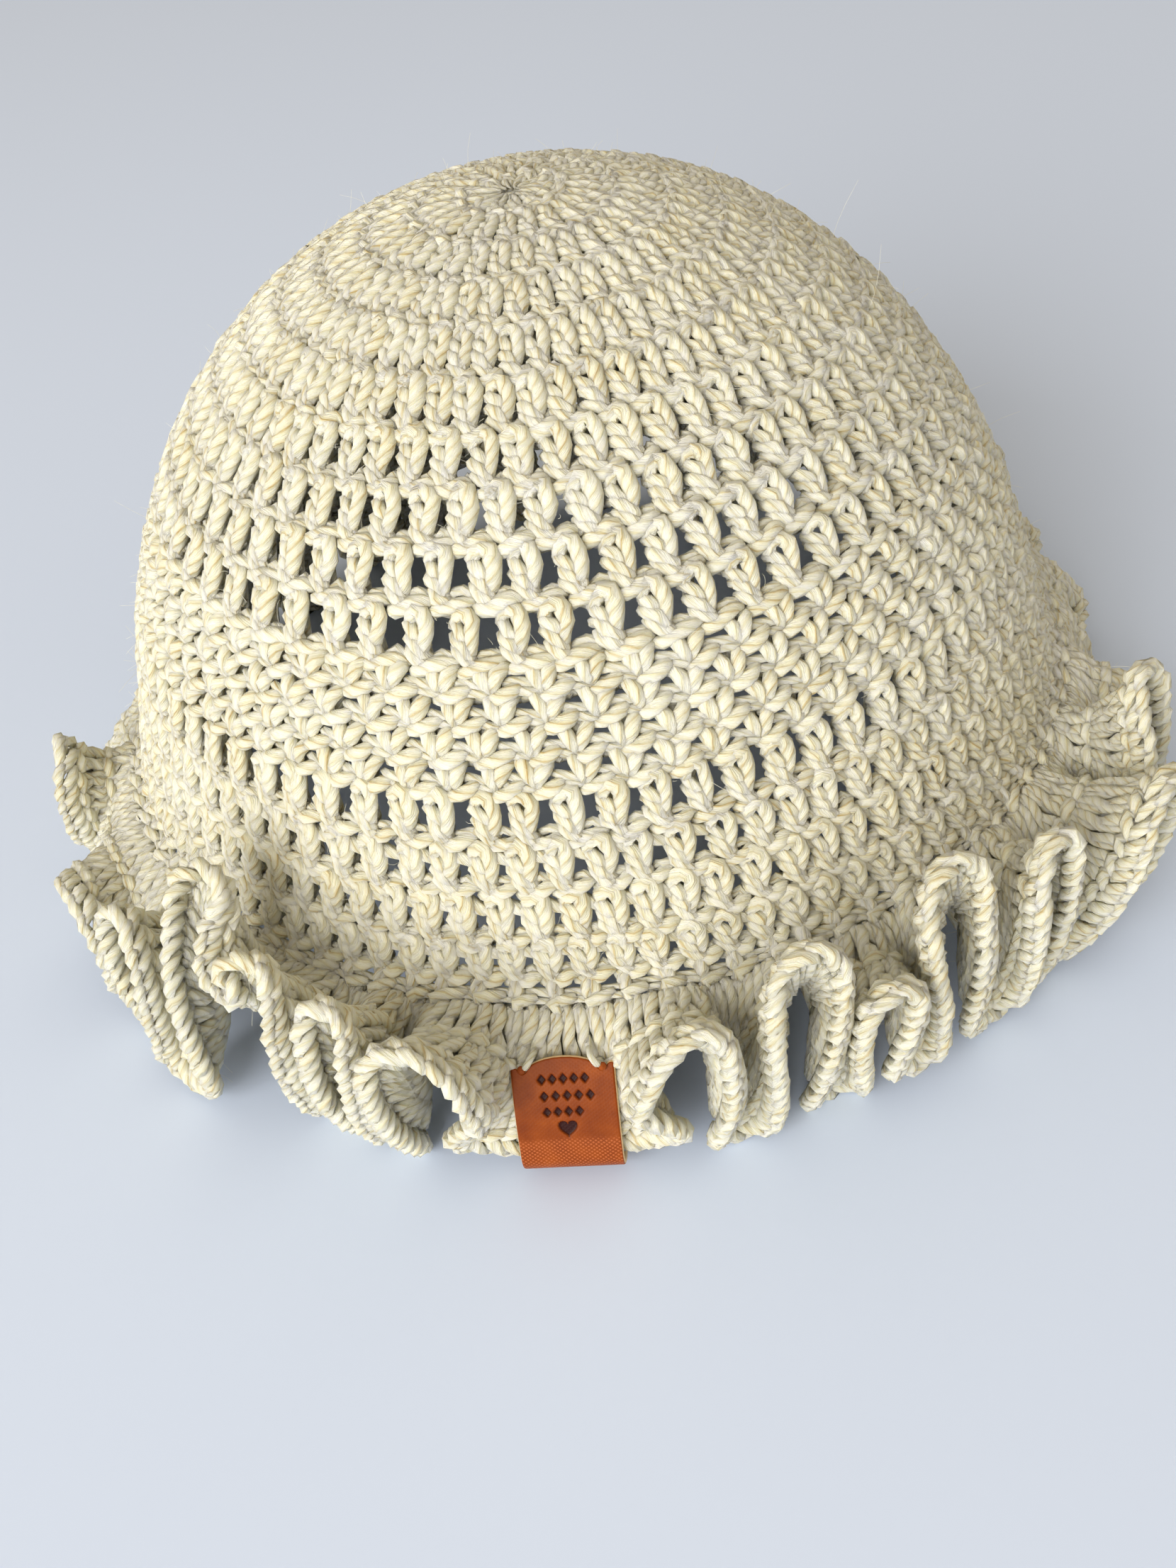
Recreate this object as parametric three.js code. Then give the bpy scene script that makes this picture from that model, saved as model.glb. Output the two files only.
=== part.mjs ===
// A crocheted hat: a hollow dome worked in rounds, a brim that stands in deep ruffles,
// a cord-like edging along the ruffle, and a folded leather tag over the edge at the front.
// Millimetres, +Z up. The hat rests on its ruffle at z = 0, with the middle of the dome over
// the origin and its front towards -Y.
import * as THREE from "three";
import { mergeVertices } from "three/addons/utils/BufferGeometryUtils.js";

// Crown: the dome's middle surface is a rounded ellipse that flares a little at the rim
const CROWN_RADIUS = 92.2;
const CROWN_RISE = 107.8;
const CROWN_SQUARENESS = 2.06;
const CROWN_SPAN_DEG = 86;
const CROWN_WALL = 4.4;
const FLARE = 3.6;
const FLARE_START = 0.84;
const FLARE_POWER = 2.5;
const ROUNDS = 20;
const ROUND_RELIEF = 0.7;

// Brim: a sheet that starts along a slanting seam and is thrown into folds
const BRIM_WIDTH = 29;
const BRIM_WALL = 3.2;
const BRIM_BEND = 1.8;
const BRIM_FULLNESS = 0.5;
const STEEPEST_TURN = 2.5;
const SEAM_SLOPE_DEG = 43;
const START_SLOPE_DEG = 32;

// Edging: a round cord of slip stitches; its shoulder is where the section is widest, as shares
// of its diameter out from the brim and up from its middle
const EDGING_DIAMETER = 4.2;
const EDGING_SHOULDER_OUT = 0.65;
const EDGING_SHOULDER_UP = 0.45;

// Tag: leather folded over the edge, its front flap's top cut to an arch between two ears
const TAG_WIDTH = 18;
const TAG_LENGTH = 17;
const TAG_BACK_LENGTH = 12;
const TAG_LEATHER = 1.2;
const TAG_SHIFT = 0.2;
const TAG_STANDOFF = 4.2;
const TAG_ARCH = 2;
const TAG_ARCH_SHARE = 0.31;
const TAG_EAR_SHARE = 0.45;

// Seams and the surface that the hat rests on
const GAP = 0.3;
const SINK = 1.5;
const DEEPEST_SUPPORT = 0.92;

// Mesh steps, and how far apart two points are taken to find a slope
const CROWN_SIDES = 36;
const FOLD_STEPS = 10;
const BRIM_ROWS = 3;
const INSIDE_ROWS = 7;
const TAG_COLUMNS = [-0.5, -0.4, -TAG_ARCH_SHARE, -0.16, 0, 0.16, TAG_ARCH_SHARE, 0.4, 0.5];
const TAG_FLAP_ROWS = 4;
const TAG_BEND_ROWS = 6;
const LINE_STEP = 0.002;
const SURFACE_STEP = 0.01;

// The folds, anticlockwise from the left side as seen from above. Each row is one fold: its crest
// and the dip after it. at is the angle on the rim in degrees; out, up and lean are where the free
// edge stands from the rim, in brim widths; swell is how far the fold's flanks bulge sideways.
const FOLDS = [
  { crest: { at: 184, out: 0.30, up: 0.10, lean: 0.10, swell: 0.08 },
    dip: { at: 190, out: 0.50, up: -0.60, lean: 0.05, swell: 0.08 } },
  { crest: { at: 200, out: 0.50, up: -0.05, lean: 0.24, swell: 0.10 },
    dip: { at: 209.5, out: 0.70, up: -0.85, lean: 0.24, swell: 0.08 } },
  { crest: { at: 216, out: 0.46, up: 0.22, lean: 0.10, swell: 0.08 },
    dip: { at: 221.5, out: 0.80, up: -0.86, lean: 0.14, swell: 0.08 } },
  { crest: { at: 227.5, out: 0.34, up: 0.72, lean: 0.08, swell: 0.08 },
    dip: { at: 232, out: 0.52, up: 0.20, lean: 0.05, swell: 0.05 } },
  { crest: { at: 236.5, out: 0.62, up: 0.55, lean: 0.05, swell: 0.05 },
    dip: { at: 240.5, out: 0.42, up: -0.96, lean: -0.10, swell: 0.06 } },
  { crest: { at: 244, out: 0.75, up: 0.50, lean: 0.05, swell: 0.05 },
    dip: { at: 247, out: 0.50, up: -0.85, lean: -0.08, swell: 0.05 } },
  { crest: { at: 251.6, out: 0.90, up: 0.40, lean: -0.04, swell: 0.06 },
    dip: { at: 262, out: 0.50, up: -0.68, lean: -0.03, swell: 0.38 } },
  { crest: { at: 272.5, out: 0.90, up: 0.40, lean: 0.06, swell: 0.02 },
    dip: { at: 278, out: 0.55, up: -0.85, lean: -0.10, swell: 0.06 } },
  { crest: { at: 284, out: 0.75, up: 0.60, lean: -0.10, swell: 0.08 },
    dip: { at: 288.5, out: 0.45, up: -0.96, lean: -0.15, swell: 0.08 } },
  { crest: { at: 292.5, out: 0.80, up: 0.20, lean: -0.25, swell: 0.08 },
    dip: { at: 296.5, out: 0.65, up: -0.60, lean: -0.25, swell: 0.08 } },
  { crest: { at: 301, out: 0.65, up: 0.65, lean: -0.30, swell: 0.08 },
    dip: { at: 306.5, out: 0.60, up: -0.85, lean: -0.25, swell: 0.10 } },
  { crest: { at: 311, out: 0.75, up: 0.45, lean: -0.30, swell: 0.06 },
    dip: { at: 315.5, out: 0.60, up: -0.85, lean: -0.30, swell: 0.06 } },
  { crest: { at: 321, out: 1.08, up: 0.40, lean: -0.20, swell: 0.10 },
    dip: { at: 327, out: 0.70, up: -0.75, lean: -0.35, swell: 0.08 } },
  { crest: { at: 332, out: 0.60, up: 0.55, lean: -0.30, swell: 0.08 },
    dip: { at: 338, out: 0.55, up: -0.85, lean: -0.20, swell: 0.08 } },
  { crest: { at: 343.5, out: 0.50, up: -0.20, lean: -0.05, swell: 0.05 },
    dip: { at: 350, out: 0.16, up: -0.95, lean: 0.00, swell: 0.05 } },
  { crest: { at: 356, out: 0.36, up: -0.60, lean: 0.00, swell: 0.05 },
    dip: { at: 361, out: 0.12, up: -0.95, lean: 0.00, swell: 0.05 } },
  { crest: { at: 367, out: 0.50, up: -0.50, lean: 0.00, swell: 0.05 },
    dip: { at: 373, out: 0.12, up: -0.95, lean: 0.00, swell: 0.05 } },
  { crest: { at: 379, out: 0.55, up: -0.40, lean: 0.05, swell: 0.05 },
    dip: { at: 385, out: 0.20, up: -0.95, lean: 0.00, swell: 0.05 } },
  { crest: { at: 391, out: 0.65, up: -0.10, lean: -0.05, swell: 0.06 },
    dip: { at: 397, out: 0.35, up: -0.96, lean: 0.05, swell: 0.08 } },
  { crest: { at: 403, out: 0.75, up: 0.25, lean: 0.00, swell: 0.08 },
    dip: { at: 408, out: 0.45, up: -0.85, lean: -0.10, swell: 0.08 } },
  { crest: { at: 414, out: 0.70, up: 0.45, lean: -0.05, swell: 0.06 },
    dip: { at: 421, out: 0.40, up: -0.96, lean: 0.10, swell: 0.06 } },
  { crest: { at: 427, out: 0.75, up: 0.35, lean: 0.05, swell: 0.08 },
    dip: { at: 432.5, out: 0.50, up: -0.85, lean: 0.00, swell: 0.08 } },
  { crest: { at: 438, out: 0.65, up: 0.55, lean: -0.10, swell: 0.06 },
    dip: { at: 445, out: 0.40, up: -0.96, lean: 0.05, swell: 0.06 } },
  { crest: { at: 451, out: 0.86, up: 0.40, lean: 0.05, swell: 0.08 },
    dip: { at: 456, out: 0.45, up: -0.88, lean: 0.00, swell: 0.08 } },
  { crest: { at: 462, out: 0.65, up: 0.50, lean: -0.05, swell: 0.06 },
    dip: { at: 468, out: 0.35, up: -0.96, lean: 0.10, swell: 0.08 } },
  { crest: { at: 474, out: 0.75, up: 0.35, lean: 0.05, swell: 0.08 },
    dip: { at: 480, out: 0.50, up: -0.85, lean: -0.10, swell: 0.08 } },
  { crest: { at: 486, out: 0.70, up: 0.45, lean: 0.10, swell: 0.08 },
    dip: { at: 491, out: 0.40, up: -0.96, lean: 0.00, swell: 0.08 } },
  { crest: { at: 497, out: 0.70, up: 0.20, lean: -0.10, swell: 0.08 },
    dip: { at: 503, out: 0.35, up: -0.96, lean: 0.10, swell: 0.08 } },
  { crest: { at: 509, out: 0.60, up: -0.20, lean: 0.00, swell: 0.05 },
    dip: { at: 515, out: 0.20, up: -0.95, lean: 0.00, swell: 0.05 } },
  { crest: { at: 521, out: 0.50, up: -0.50, lean: 0.00, swell: 0.05 },
    dip: { at: 527, out: 0.12, up: -0.95, lean: 0.00, swell: 0.05 } },
  { crest: { at: 532, out: 0.50, up: -0.50, lean: 0.00, swell: 0.05 },
    dip: { at: 538, out: 0.20, up: -0.95, lean: 0.00, swell: 0.05 } },
];
// The tag hangs on the dip of this row, counted from 0
const TAG_FOLD = 6;
const TURNS = FOLDS.flatMap((fold) => [fold.crest, fold.dip]);

const degrees = (angle) => (angle * Math.PI) / 180;
const START_OUT = Math.cos(degrees(START_SLOPE_DEG));
const START_UP = -Math.sin(degrees(START_SLOPE_DEG));
const SEAM_OUT = Math.cos(degrees(SEAM_SLOPE_DEG));
const SEAM_UP = -Math.sin(degrees(SEAM_SLOPE_DEG));

// The rim stands as high as the folds that carry the hat are deep, less what they flatten
const RIM_HEIGHT = BRIM_WIDTH * DEEPEST_SUPPORT + GAP + EDGING_DIAMETER - SINK;

// The crown's middle line, from the top at share 0 to the rim at share 1
function crownLine(share) {
  const angle = degrees(CROWN_SPAN_DEG) * share;
  const power = 2 / CROWN_SQUARENESS;
  const flare = Math.max(0, (share - FLARE_START) / (1 - FLARE_START));
  const rimDrop = CROWN_RISE * Math.cos(degrees(CROWN_SPAN_DEG)) ** power;
  return {
    r: CROWN_RADIUS * Math.sin(angle) ** power + FLARE * flare ** FLARE_POWER,
    z: RIM_HEIGHT + CROWN_RISE * Math.cos(angle) ** power - rimDrop,
  };
}
const RIM_RADIUS = crownLine(1).r;

// The crown's wall face: side +1 is outside, -1 inside; relief swells at the middle of each round
function crownFace(share, side, relief) {
  const a = crownLine(Math.max(0, share - LINE_STEP));
  const b = crownLine(Math.min(1, share + LINE_STEP));
  const length = Math.hypot(b.r - a.r, b.z - a.z);
  const atRim = share === 1;
  const outR = share === 0 ? 0 : atRim ? -SEAM_UP : -(b.z - a.z) / length;
  const outZ = share === 0 ? 1 : atRim ? SEAM_OUT : (b.r - a.r) / length;
  const middle = crownLine(share);
  const away = side * CROWN_WALL / 2 + relief;
  return new THREE.Vector2(middle.r + outR * away, middle.z + outZ * away);
}

// The crown turned from one closed outline: rounds outside, smooth inside
function crownGeometry() {
  const outline = [];
  for (let i = 0; i <= 2 * ROUNDS; i += 1) {
    const relief = i % 2 === 1 ? ROUND_RELIEF / 2 : -ROUND_RELIEF / 2;
    outline.push(crownFace(i / (2 * ROUNDS), 1, i === 0 ? 0 : relief));
  }
  for (let i = INSIDE_ROWS; i >= 0; i -= 1) {
    outline.push(crownFace(i / INSIDE_ROWS, -1, 0));
  }
  outline[0].x = 0;
  outline[outline.length - 1].x = 0;
  const turned = new THREE.LatheGeometry(outline.reverse(), CROWN_SIDES);
  turned.rotateX(Math.PI / 2);
  return turned;
}

// One value of the fold table at a whole turn number, with the angle carried on past a full circle
function turnAt(index) {
  const count = TURNS.length;
  const wrapped = ((index % count) + count) % count;
  return { ...TURNS[wrapped], at: TURNS[wrapped].at + 360 * Math.floor(index / count) };
}

// Where the free edge stands from the rim, in brim widths, and the rim angle, at turn number u
function foldAt(u) {
  const k = Math.floor(u);
  const w = u - k;
  const [before, here, next, after] = [turnAt(k - 1), turnAt(k), turnAt(k + 1), turnAt(k + 2)];
  const rise = next.at - here.at;
  const slopeHere = Math.min((next.at - before.at) / 2, STEEPEST_TURN * rise);
  const slopeNext = Math.min((after.at - here.at) / 2, STEEPEST_TURN * rise);
  const angle = here.at * (2 * w ** 3 - 3 * w ** 2 + 1) + slopeHere * (w ** 3 - 2 * w ** 2 + w)
    + next.at * (3 * w ** 2 - 2 * w ** 3) + slopeNext * (w ** 3 - w ** 2);
  const blend = (1 - Math.cos(Math.PI * w)) / 2;
  const mix = (name) => here[name] * (1 - blend) + next[name] * blend;
  const chord = Math.hypot(mix("out"), mix("up"), mix("lean"));
  const full = chord ** -BRIM_FULLNESS;
  const swell = (w < 0.5 ? here.swell : next.swell) * Math.sin(2 * Math.PI * w);
  return { angle: degrees(angle), out: mix("out") * full, up: mix("up") * full,
    lean: mix("lean") * full + swell };
}

// A point of the brim's middle surface: u is the turn number, t runs from the rim to the edge
function brimPoint(u, t) {
  const fold = foldAt(u);
  const bend = t ** BRIM_BEND;
  const first = t - bend;
  const out = BRIM_WIDTH * (START_OUT * first + fold.out * bend);
  const up = BRIM_WIDTH * (START_UP * first + fold.up * bend);
  const side = BRIM_WIDTH * fold.lean * bend;
  const [c, s] = [Math.cos(fold.angle), Math.sin(fold.angle)];
  const r = RIM_RADIUS + out;
  return new THREE.Vector3(r * c - side * s, r * s + side * c, RIM_HEIGHT + up);
}

// The brim's own axes at a point: along the edge, across towards the edge, and the outer normal
function brimAxes(u, t) {
  const step = SURFACE_STEP;
  const along = brimPoint(u + step, t).sub(brimPoint(u - step, t)).normalize();
  const down = brimPoint(u, t + step).sub(brimPoint(u, Math.max(0, t - step)));
  const normal = new THREE.Vector3().crossVectors(down, along).normalize();
  const across = new THREE.Vector3().crossVectors(along, normal).normalize();
  return { along, across, normal };
}

// The slanting seam where the crown's wall meets the brim, the same for both
function seamAxes(u) {
  const angle = foldAt(u).angle;
  const [c, s] = [Math.cos(angle), Math.sin(angle)];
  return {
    across: new THREE.Vector3(SEAM_OUT * c, SEAM_OUT * s, SEAM_UP),
    normal: new THREE.Vector3(-SEAM_UP * c, -SEAM_UP * s, SEAM_OUT),
  };
}

// Keeps a point on or above the surface that the hat rests on
function rest(point) {
  point.z = Math.max(point.z, 0);
  return point;
}

// A closed ring whose section is a loop of points: section(i) gives the loop at step i. The split
// says which diagonal cuts each face in two, so that two facing rings can be cut alike.
function ringGeometry(steps, section, split) {
  const positions = [];
  const indices = [];
  let size = 0;
  for (let i = 0; i < steps; i += 1) {
    const loop = section(i);
    size = loop.length;
    loop.forEach((point) => positions.push(point.x, point.y, point.z));
  }
  for (let i = 0; i < steps; i += 1) {
    const here = i * size;
    const next = ((i + 1) % steps) * size;
    for (let j = 0; j < size; j += 1) {
      const k = (j + 1) % size;
      if (split === "forward") {
        indices.push(here + j, next + k, next + j, here + j, here + k, next + k);
      } else {
        indices.push(here + j, here + k, next + j, here + k, next + k, next + j);
      }
    }
  }
  const geometry = new THREE.BufferGeometry();
  geometry.setAttribute("position", new THREE.Float32BufferAttribute(positions, 3));
  geometry.setIndex(indices);
  return geometry;
}
const RING_STEPS = TURNS.length * FOLD_STEPS / 2;

// The brim's section: out along its upper face and back along its lower face
function brimSection(i) {
  const u = 2 * (i + 0.5) / FOLD_STEPS;
  const upper = [];
  const lower = [];
  for (let row = 0; row <= BRIM_ROWS; row += 1) {
    const t = row / BRIM_ROWS;
    const axes = row === 0 ? seamAxes(u) : brimAxes(u, t);
    const middle = brimPoint(u, t);
    if (row === 0) middle.addScaledVector(axes.across, GAP);
    upper.push(rest(middle.clone().addScaledVector(axes.normal, BRIM_WALL / 2)));
    lower.push(rest(middle.clone().addScaledVector(axes.normal, -BRIM_WALL / 2)));
  }
  return [...upper, ...lower.reverse()];
}

// The edging's section: a loop with a flat back towards the brim's edge and a rounded front
function edgingSection(i) {
  const u = 2 * (i + 0.5) / FOLD_STEPS;
  const axes = brimAxes(u, 1);
  const back = brimPoint(u, 1).addScaledVector(axes.across, GAP);
  const at = (across, normal) => rest(back.clone()
    .addScaledVector(axes.across, across)
    .addScaledVector(axes.normal, normal));
  const out = EDGING_SHOULDER_OUT * EDGING_DIAMETER;
  const up = EDGING_SHOULDER_UP * EDGING_DIAMETER;
  return [at(0, -BRIM_WALL / 2), at(0, BRIM_WALL / 2), at(out, up), at(EDGING_DIAMETER, 0),
    at(out, -up)];
}

// The tag's middle line, seen from its side: x is across the brim past its edge, y is outwards.
// It runs from the front flap's top down the brim's face, round the edging and up the back.
function tagLine(frontLength) {
  const u = 2 * TAG_FOLD + 1;
  const origin = brimPoint(u, 1);
  const axes = brimAxes(u, 1);
  const inPlane = (point) => {
    const from = point.sub(origin);
    return new THREE.Vector2(from.dot(axes.across), from.dot(axes.normal));
  };
  const stripLength = brimPoint(u, 0).distanceTo(origin);
  const backOff = BRIM_WALL / 2 + GAP + TAG_LEATHER / 2;
  const bendRadius = (TAG_STANDOFF + backOff) / 2;
  const bendMiddle = 2 * GAP + EDGING_DIAMETER + TAG_LEATHER / 2 - bendRadius;
  const flap = (length, off) => {
    const points = [];
    for (let row = 0; row < TAG_FLAP_ROWS; row += 1) {
      const t = 1 - (length / stripLength) * (1 - row / TAG_FLAP_ROWS);
      const normal = brimAxes(u, t).normal;
      points.push(inPlane(brimPoint(u, t).addScaledVector(normal, off)));
    }
    return points;
  };
  const line = flap(frontLength - bendMiddle, TAG_STANDOFF);
  for (let row = 0; row <= TAG_BEND_ROWS; row += 1) {
    const turn = Math.PI / 2 - (Math.PI * row) / TAG_BEND_ROWS;
    line.push(new THREE.Vector2(bendMiddle + bendRadius * Math.cos(turn),
      (TAG_STANDOFF - backOff) / 2 + bendRadius * Math.sin(turn)));
  }
  return [...line, ...flap(TAG_BACK_LENGTH, -backOff).reverse()];
}

// How far the front flap's top is cut down at a share of the width from its middle
function tagCut(share) {
  const off = Math.abs(share);
  if (off > TAG_ARCH_SHARE + 0.01) return TAG_ARCH * TAG_EAR_SHARE;
  return TAG_ARCH * (off / TAG_ARCH_SHARE) ** 2;
}

// The tag as a closed slab: two skins of columns and rows, with the leather between them
function tagGeometry() {
  const u = 2 * TAG_FOLD + 1;
  const origin = brimPoint(u, 1);
  const axes = brimAxes(u, 1);
  const positions = [];
  const indices = [];
  const rows = tagLine(TAG_LENGTH).length;
  for (const side of [1, -1]) {
    for (const share of TAG_COLUMNS) {
      const line = tagLine(TAG_LENGTH - tagCut(share));
      line.forEach((here, i) => {
        const before = line[Math.max(0, i - 1)];
        const after = line[Math.min(rows - 1, i + 1)];
        const run = after.clone().sub(before).normalize();
        const at = here.clone().add(new THREE.Vector2(-run.y, run.x)
          .multiplyScalar(side * TAG_LEATHER / 2));
        const point = origin.clone().addScaledVector(axes.across, at.x)
          .addScaledVector(axes.normal, at.y)
          .addScaledVector(axes.along, TAG_SHIFT + share * TAG_WIDTH);
        positions.push(point.x, point.y, point.z);
      });
    }
  }
  const columns = TAG_COLUMNS.length;
  const skin = rows * columns;
  const quad = (a, b, c, d) => indices.push(a, b, c, a, c, d);
  for (let i = 0; i < columns - 1; i += 1) {
    for (let j = 0; j < rows - 1; j += 1) {
      const a = i * rows + j;
      quad(a, a + 1, a + rows + 1, a + rows);
      quad(skin + a, skin + a + rows, skin + a + rows + 1, skin + a + 1);
    }
    const [top, end] = [i * rows, i * rows + rows - 1];
    quad(top, top + rows, skin + top + rows, skin + top);
    quad(end, skin + end, skin + end + rows, end + rows);
  }
  for (let j = 0; j < rows - 1; j += 1) {
    const last = (columns - 1) * rows;
    quad(j, skin + j, skin + j + 1, j + 1);
    quad(last + j, last + j + 1, skin + last + j + 1, skin + last + j);
  }
  const geometry = new THREE.BufferGeometry();
  geometry.setAttribute("position", new THREE.Float32BufferAttribute(positions, 3));
  geometry.setIndex(indices);
  return geometry;
}

function piece(name, geometry, look) {
  const shape = geometry.clone();
  shape.deleteAttribute("uv");
  shape.deleteAttribute("normal");
  const closed = mergeVertices(shape, 1e-4);
  closed.computeVertexNormals();
  const mesh = new THREE.Mesh(closed, new THREE.MeshStandardMaterial(look));
  mesh.name = name;
  return mesh;
}

const LEATHER = { color: 0xa5521f, roughness: 0.45, metalness: 0 };
const WOOL = { color: 0xece4c6, roughness: 0.9, metalness: 0 };
const group = new THREE.Group();
group.add(piece("crown", crownGeometry(), WOOL));
group.add(piece("brim", ringGeometry(RING_STEPS, brimSection, "forward"), WOOL));
group.add(piece("edging", ringGeometry(RING_STEPS, edgingSection, "backward"), WOOL));
group.add(piece("label", tagGeometry(), LEATHER));

export default group;
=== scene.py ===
"""The looks of a crocheted hat with a ruffled brim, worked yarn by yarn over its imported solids.

Everything is in metres in the part's own frame. A stitch is a few short yarn paths written as
control points; one surface function places them on the dome and another on the ruffle.
"""
import math

import bmesh
import bpy
import numpy as np
from mathutils import Matrix


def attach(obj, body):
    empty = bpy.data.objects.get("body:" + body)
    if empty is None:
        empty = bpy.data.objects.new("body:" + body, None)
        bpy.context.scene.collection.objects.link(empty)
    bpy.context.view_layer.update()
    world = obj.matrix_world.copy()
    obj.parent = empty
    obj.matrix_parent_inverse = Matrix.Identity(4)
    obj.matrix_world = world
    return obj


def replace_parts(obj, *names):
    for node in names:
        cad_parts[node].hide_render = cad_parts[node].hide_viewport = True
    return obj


bl_info = {
    "name": "Crochet Hat Looks",
    "version": (1, 0, 0),
    "blender": (4, 5, 0),
    "location": "3D View > Sidebar > Crochet Hat",
    "description": "Builds the yarn, the folded tag and the stage of a crocheted hat",
    "category": "Object",
}

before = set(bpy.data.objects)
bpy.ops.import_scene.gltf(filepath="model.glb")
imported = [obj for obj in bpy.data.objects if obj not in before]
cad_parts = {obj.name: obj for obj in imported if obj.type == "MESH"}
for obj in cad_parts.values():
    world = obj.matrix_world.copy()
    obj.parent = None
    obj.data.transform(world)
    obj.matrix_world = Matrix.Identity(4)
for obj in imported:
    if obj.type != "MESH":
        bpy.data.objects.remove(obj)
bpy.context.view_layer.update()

MM = 0.001

# Crown: the dome's middle line, the same as the solid's
CROWN_RADIUS = 92.2 * MM
CROWN_RISE = 107.8 * MM
CROWN_SQUARENESS = 2.06
CROWN_SPAN = math.radians(86)
FLARE = 3.6 * MM
FLARE_START = 0.84
FLARE_POWER = 2.5

# Brim: the folded sheet's middle surface, the same as the solid's
BRIM_WIDTH = 29 * MM
BRIM_WALL = 3.2 * MM
BRIM_BEND = 1.8
BRIM_FULLNESS = 0.5
STEEPEST_TURN = 2.5
START_SLOPE = math.radians(32)
EDGING_DIAMETER = 4.2 * MM
GAP = 0.3 * MM
SINK = 1.5 * MM
DEEPEST_SUPPORT = 0.92
RIM_HEIGHT = BRIM_WIDTH * DEEPEST_SUPPORT + GAP + EDGING_DIAMETER - SINK

# Tag: leather folded over the edge on the dip of this row of the fold table
TAG_FOLD = 6
TAG_LEATHER = 1.2 * MM
TAG_BACK_LENGTH = 12 * MM
TAG_SHIFT = 0.2 * MM
TAG_STANDOFF = 4.2 * MM

# Camera: its focal length and the frame's height in pixels, the size of its sensor in
# millimetres, its distance from a point a little above the floor, and its height angle, pan,
# tilt and roll in degrees
CAMERA_FOCUS = 2300
FRAME_HEIGHT = 2212
SENSOR_HEIGHT = 36.0
SENSOR_WIDTH = 27.0
CAMERA_DISTANCE = 360 * MM
CAMERA_TARGET = 21.4 * MM
CAMERA_HEIGHT = 36.857
CAMERA_PAN = 0.75
CAMERA_TILT = -3.549
CAMERA_ROLL = 9.546

# Each row is one fold of the ruffle, anticlockwise: its crest, then its dip. The columns of each
# are the angle on the rim in degrees, then where the free edge stands from the rim in brim
# widths (out, up, lean), then how far the flank swells sideways.
FOLDS = np.array((
    (184, 0.30, 0.10, 0.10, 0.08, 190, 0.50, -0.60, 0.05, 0.08),
    (200, 0.50, -0.05, 0.24, 0.10, 209.5, 0.70, -0.85, 0.24, 0.08),
    (216, 0.46, 0.22, 0.10, 0.08, 221.5, 0.80, -0.86, 0.14, 0.08),
    (227.5, 0.34, 0.72, 0.08, 0.08, 232, 0.52, 0.20, 0.05, 0.05),
    (236.5, 0.62, 0.55, 0.05, 0.05, 240.5, 0.42, -0.96, -0.10, 0.06),
    (244, 0.75, 0.50, 0.05, 0.05, 247, 0.50, -0.85, -0.08, 0.05),
    (251.6, 0.90, 0.40, -0.04, 0.06, 262, 0.50, -0.68, -0.03, 0.38),
    (272.5, 0.90, 0.40, 0.06, 0.02, 278, 0.55, -0.85, -0.10, 0.06),
    (284, 0.75, 0.60, -0.10, 0.08, 288.5, 0.45, -0.96, -0.15, 0.08),
    (292.5, 0.80, 0.20, -0.25, 0.08, 296.5, 0.65, -0.60, -0.25, 0.08),
    (301, 0.65, 0.65, -0.30, 0.08, 306.5, 0.60, -0.85, -0.25, 0.10),
    (311, 0.75, 0.45, -0.30, 0.06, 315.5, 0.60, -0.85, -0.30, 0.06),
    (321, 1.08, 0.40, -0.20, 0.10, 327, 0.70, -0.75, -0.35, 0.08),
    (332, 0.60, 0.55, -0.30, 0.08, 338, 0.55, -0.85, -0.20, 0.08),
    (343.5, 0.50, -0.20, -0.05, 0.05, 350, 0.16, -0.95, 0.00, 0.05),
    (356, 0.36, -0.60, 0.00, 0.05, 361, 0.12, -0.95, 0.00, 0.05),
    (367, 0.50, -0.50, 0.00, 0.05, 373, 0.12, -0.95, 0.00, 0.05),
    (379, 0.55, -0.40, 0.05, 0.05, 385, 0.20, -0.95, 0.00, 0.05),
    (391, 0.65, -0.10, -0.05, 0.06, 397, 0.35, -0.96, 0.05, 0.08),
    (403, 0.75, 0.25, 0.00, 0.08, 408, 0.45, -0.85, -0.10, 0.08),
    (414, 0.70, 0.45, -0.05, 0.06, 421, 0.40, -0.96, 0.10, 0.06),
    (427, 0.75, 0.35, 0.05, 0.08, 432.5, 0.50, -0.85, 0.00, 0.08),
    (438, 0.65, 0.55, -0.10, 0.06, 445, 0.40, -0.96, 0.05, 0.06),
    (451, 0.86, 0.40, 0.05, 0.08, 456, 0.45, -0.88, 0.00, 0.08),
    (462, 0.65, 0.50, -0.05, 0.06, 468, 0.35, -0.96, 0.10, 0.08),
    (474, 0.75, 0.35, 0.05, 0.08, 480, 0.50, -0.85, -0.10, 0.08),
    (486, 0.70, 0.45, 0.10, 0.08, 491, 0.40, -0.96, 0.00, 0.08),
    (497, 0.70, 0.20, -0.10, 0.08, 503, 0.35, -0.96, 0.10, 0.08),
    (509, 0.60, -0.20, 0.00, 0.05, 515, 0.20, -0.95, 0.00, 0.05),
    (521, 0.50, -0.50, 0.00, 0.05, 527, 0.12, -0.95, 0.00, 0.05),
    (532, 0.50, -0.50, 0.00, 0.05, 538, 0.20, -0.95, 0.00, 0.05),
)).reshape(-1, 5)
TURNS = len(FOLDS)

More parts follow.
